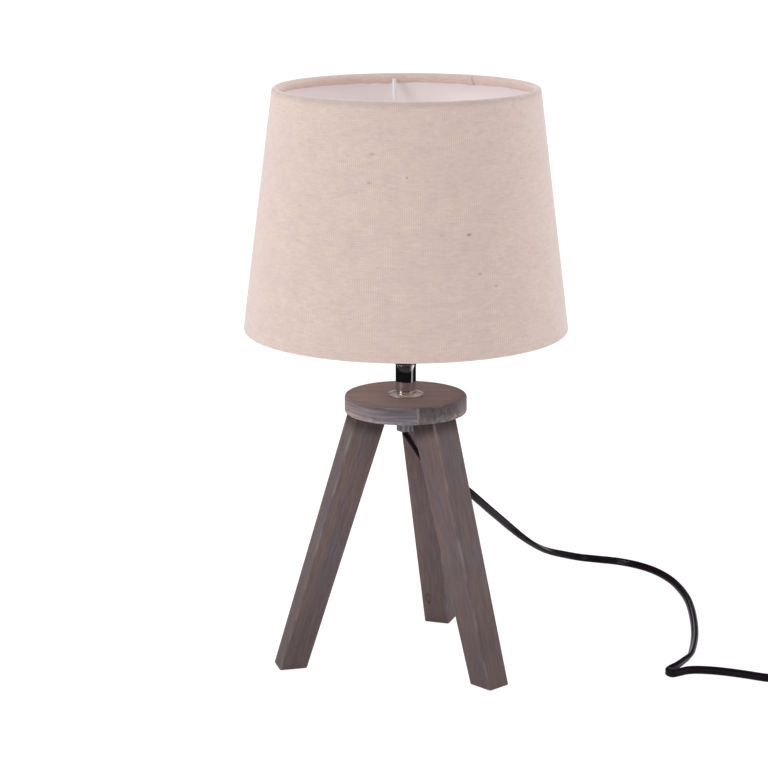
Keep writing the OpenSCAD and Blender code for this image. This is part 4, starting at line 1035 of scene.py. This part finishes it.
# The cloth sags a little between the wires, and creases where its hem is turned in: how
# deep and how far up or down, in mm, and how many to the metre round and up the shade.
sag_depth, crease_depth, crease_shift, tail_shift = 0.18, 0.22, 0.16, 0.5
sags_round, sags_up, creases_round, crease_h = 22, 14, 160, 3
for v in bm.verts:
    height = v.co.z / MM
    radial = Vector((v.co.x, v.co.y, 0)).normalized()
    inside = shade_r(height) - v.co.xy.length / MM
    turned_in = min(1, max(0, (inside - 1) / 2))
    tail = 1 if inside > 1 and hem_low < height < hem_high else 0
    crease = noise.noise(Vector((v.co.x * creases_round, v.co.y * creases_round,
                                 height / crease_h)))
    sag = noise.noise(Vector((v.co.x * sags_round, v.co.y * sags_round, v.co.z * sags_up)))
    v.co += radial * MM * (sag_depth * sag + crease_depth * crease * turned_in)
    v.co.z += MM * (tail_shift * crease * tail + crease_shift * crease * turned_in)
bmesh.ops.recalc_face_normals(bm, faces=bm.faces)
linen = natural_linen()
cover = add_piece("linen_cover", bm, linen, "shade", ["shade_fabric"], sharp=60)
cloth_wall = cover.modifiers.new("thickness", "SOLIDIFY")
cloth_wall.thickness = cloth_t * MM
cloth_wall.offset = -1


# ---- Shade liner ---------------------------------------------------------------------
# A stiff white styrene sheet, rolled and lapped, that the linen is glued to.
def styrene():
    # Calendered styrene: white, satin, faintly cloudy. Its faint glow is painted light,
    # standing in for the daylight that comes in through the cloth.
    made, tree = new_material("calendered_styrene")
    uv = add(tree, "UVMap", {}, uv_map="cloth")
    cloud = add(tree, "TexNoise", {"Vector": uv, "Scale": 1 / 25, "Detail": 3})
    tint = add(tree, "MixRGB", {"Fac": cloud, "Color1": "#cbc2c4", "Color2": "#d2cacb"})
    rough = add(tree, "MapRange", {"Value": cloud, "To Min": 0.4, "To Max": 0.55})
    surface(tree, {
        "Base Color": tint, "Roughness": rough, "Emission Color": "#f3e2de",
        "Emission Strength": 0.27})
    return made


liner_t = 0.3
liner_gap = 0.3
liner_rows = 8
cloth_room = 0.9
sag_room = 0.4
liner_low = hem_low + liner_gap
liner_high = hem_high - liner_gap
liner_profile = [(shade_r(z) - cloth_room - sag_room, z) for z in
                 (liner_low + (liner_high - liner_low) * i / liner_rows
                  for i in range(liner_rows + 1))]
liner_turn, liner_lap, liner_steps = 35.6, 5, 240
bm = rolled_sheet(liner_profile, liner_turn, liner_lap, liner_steps, liner_t)
bmesh.ops.recalc_face_normals(bm, faces=bm.faces)
liner = add_piece("liner_sheet", bm, styrene(), "shade", ["shade_liner"],
                  sharp=60)
liner_wall = liner.modifiers.new("thickness", "SOLIDIFY")
liner_wall.thickness = liner_t * MM
liner_wall.offset = -1


# ---- Inline switch -------------------------------------------------------------------
# Two black moulded half shells, screwed together round the cord's terminals, with a
# rocker that tilts in a window of the upper one.
black_plastic = moulded("black_moulded_abs", "#1b1a1c", 0.42, 0.5)
softened("switch_bottom", "switch_lower_shell", 0.6, black_plastic, "stand")
softened("switch_top", "switch_upper_shell", 0.6, black_plastic, "stand")
softened("switch_rocker", "rocker_key", 0.3, moulded("black_moulded_rocker", "#242325", 0.3),
         "rocker")
finish(brass, "switch_terminals")
finish(zinc, "switch_screws")


# ---- Plug ----------------------------------------------------------------------------
# A flat two-pin plug moulded round the cord in one shot, with a tapered ribbed boot and
# nickelled pins that are sleeved next to the body.
softened("plug_body", "moulded_plug", 0.9, black_plastic, "stand", segments=3)
finish(nickel, "plug_pins")
finish(black_plastic, "plug_sleeves")


# ---- Coil tie ------------------------------------------------------------------------
# A hook-and-loop strap round the stored coil.
def strap_nylon():
    # Woven nylon with a brushed pile: matt charcoal, and fuzzy up close.
    made, tree = new_material("brushed_nylon_strap")
    place = add(tree, "TexCoord", {}).outputs["Object"]
    pile = add(tree, "TexVoronoi", {"Vector": place, "Scale": 1 / (0.5 * MM)})
    tint = add(tree, "MixRGB", {
        "Fac": pile.outputs["Distance"], "Color1": "#343338", "Color2": "#1d1c20"})
    bump = add(tree, "Bump", {
        "Height": pile.outputs["Distance"], "Strength": 0.6, "Distance": 0.15 * MM})
    surface(tree, {
        "Base Color": tint, "Roughness": 0.95, "Normal": bump, "Sheen Weight": 0.4,
        "Sheen Roughness": 0.6})
    return made


softened("coil_tie", "coil_strap", 0.15, strap_nylon(), "stand")
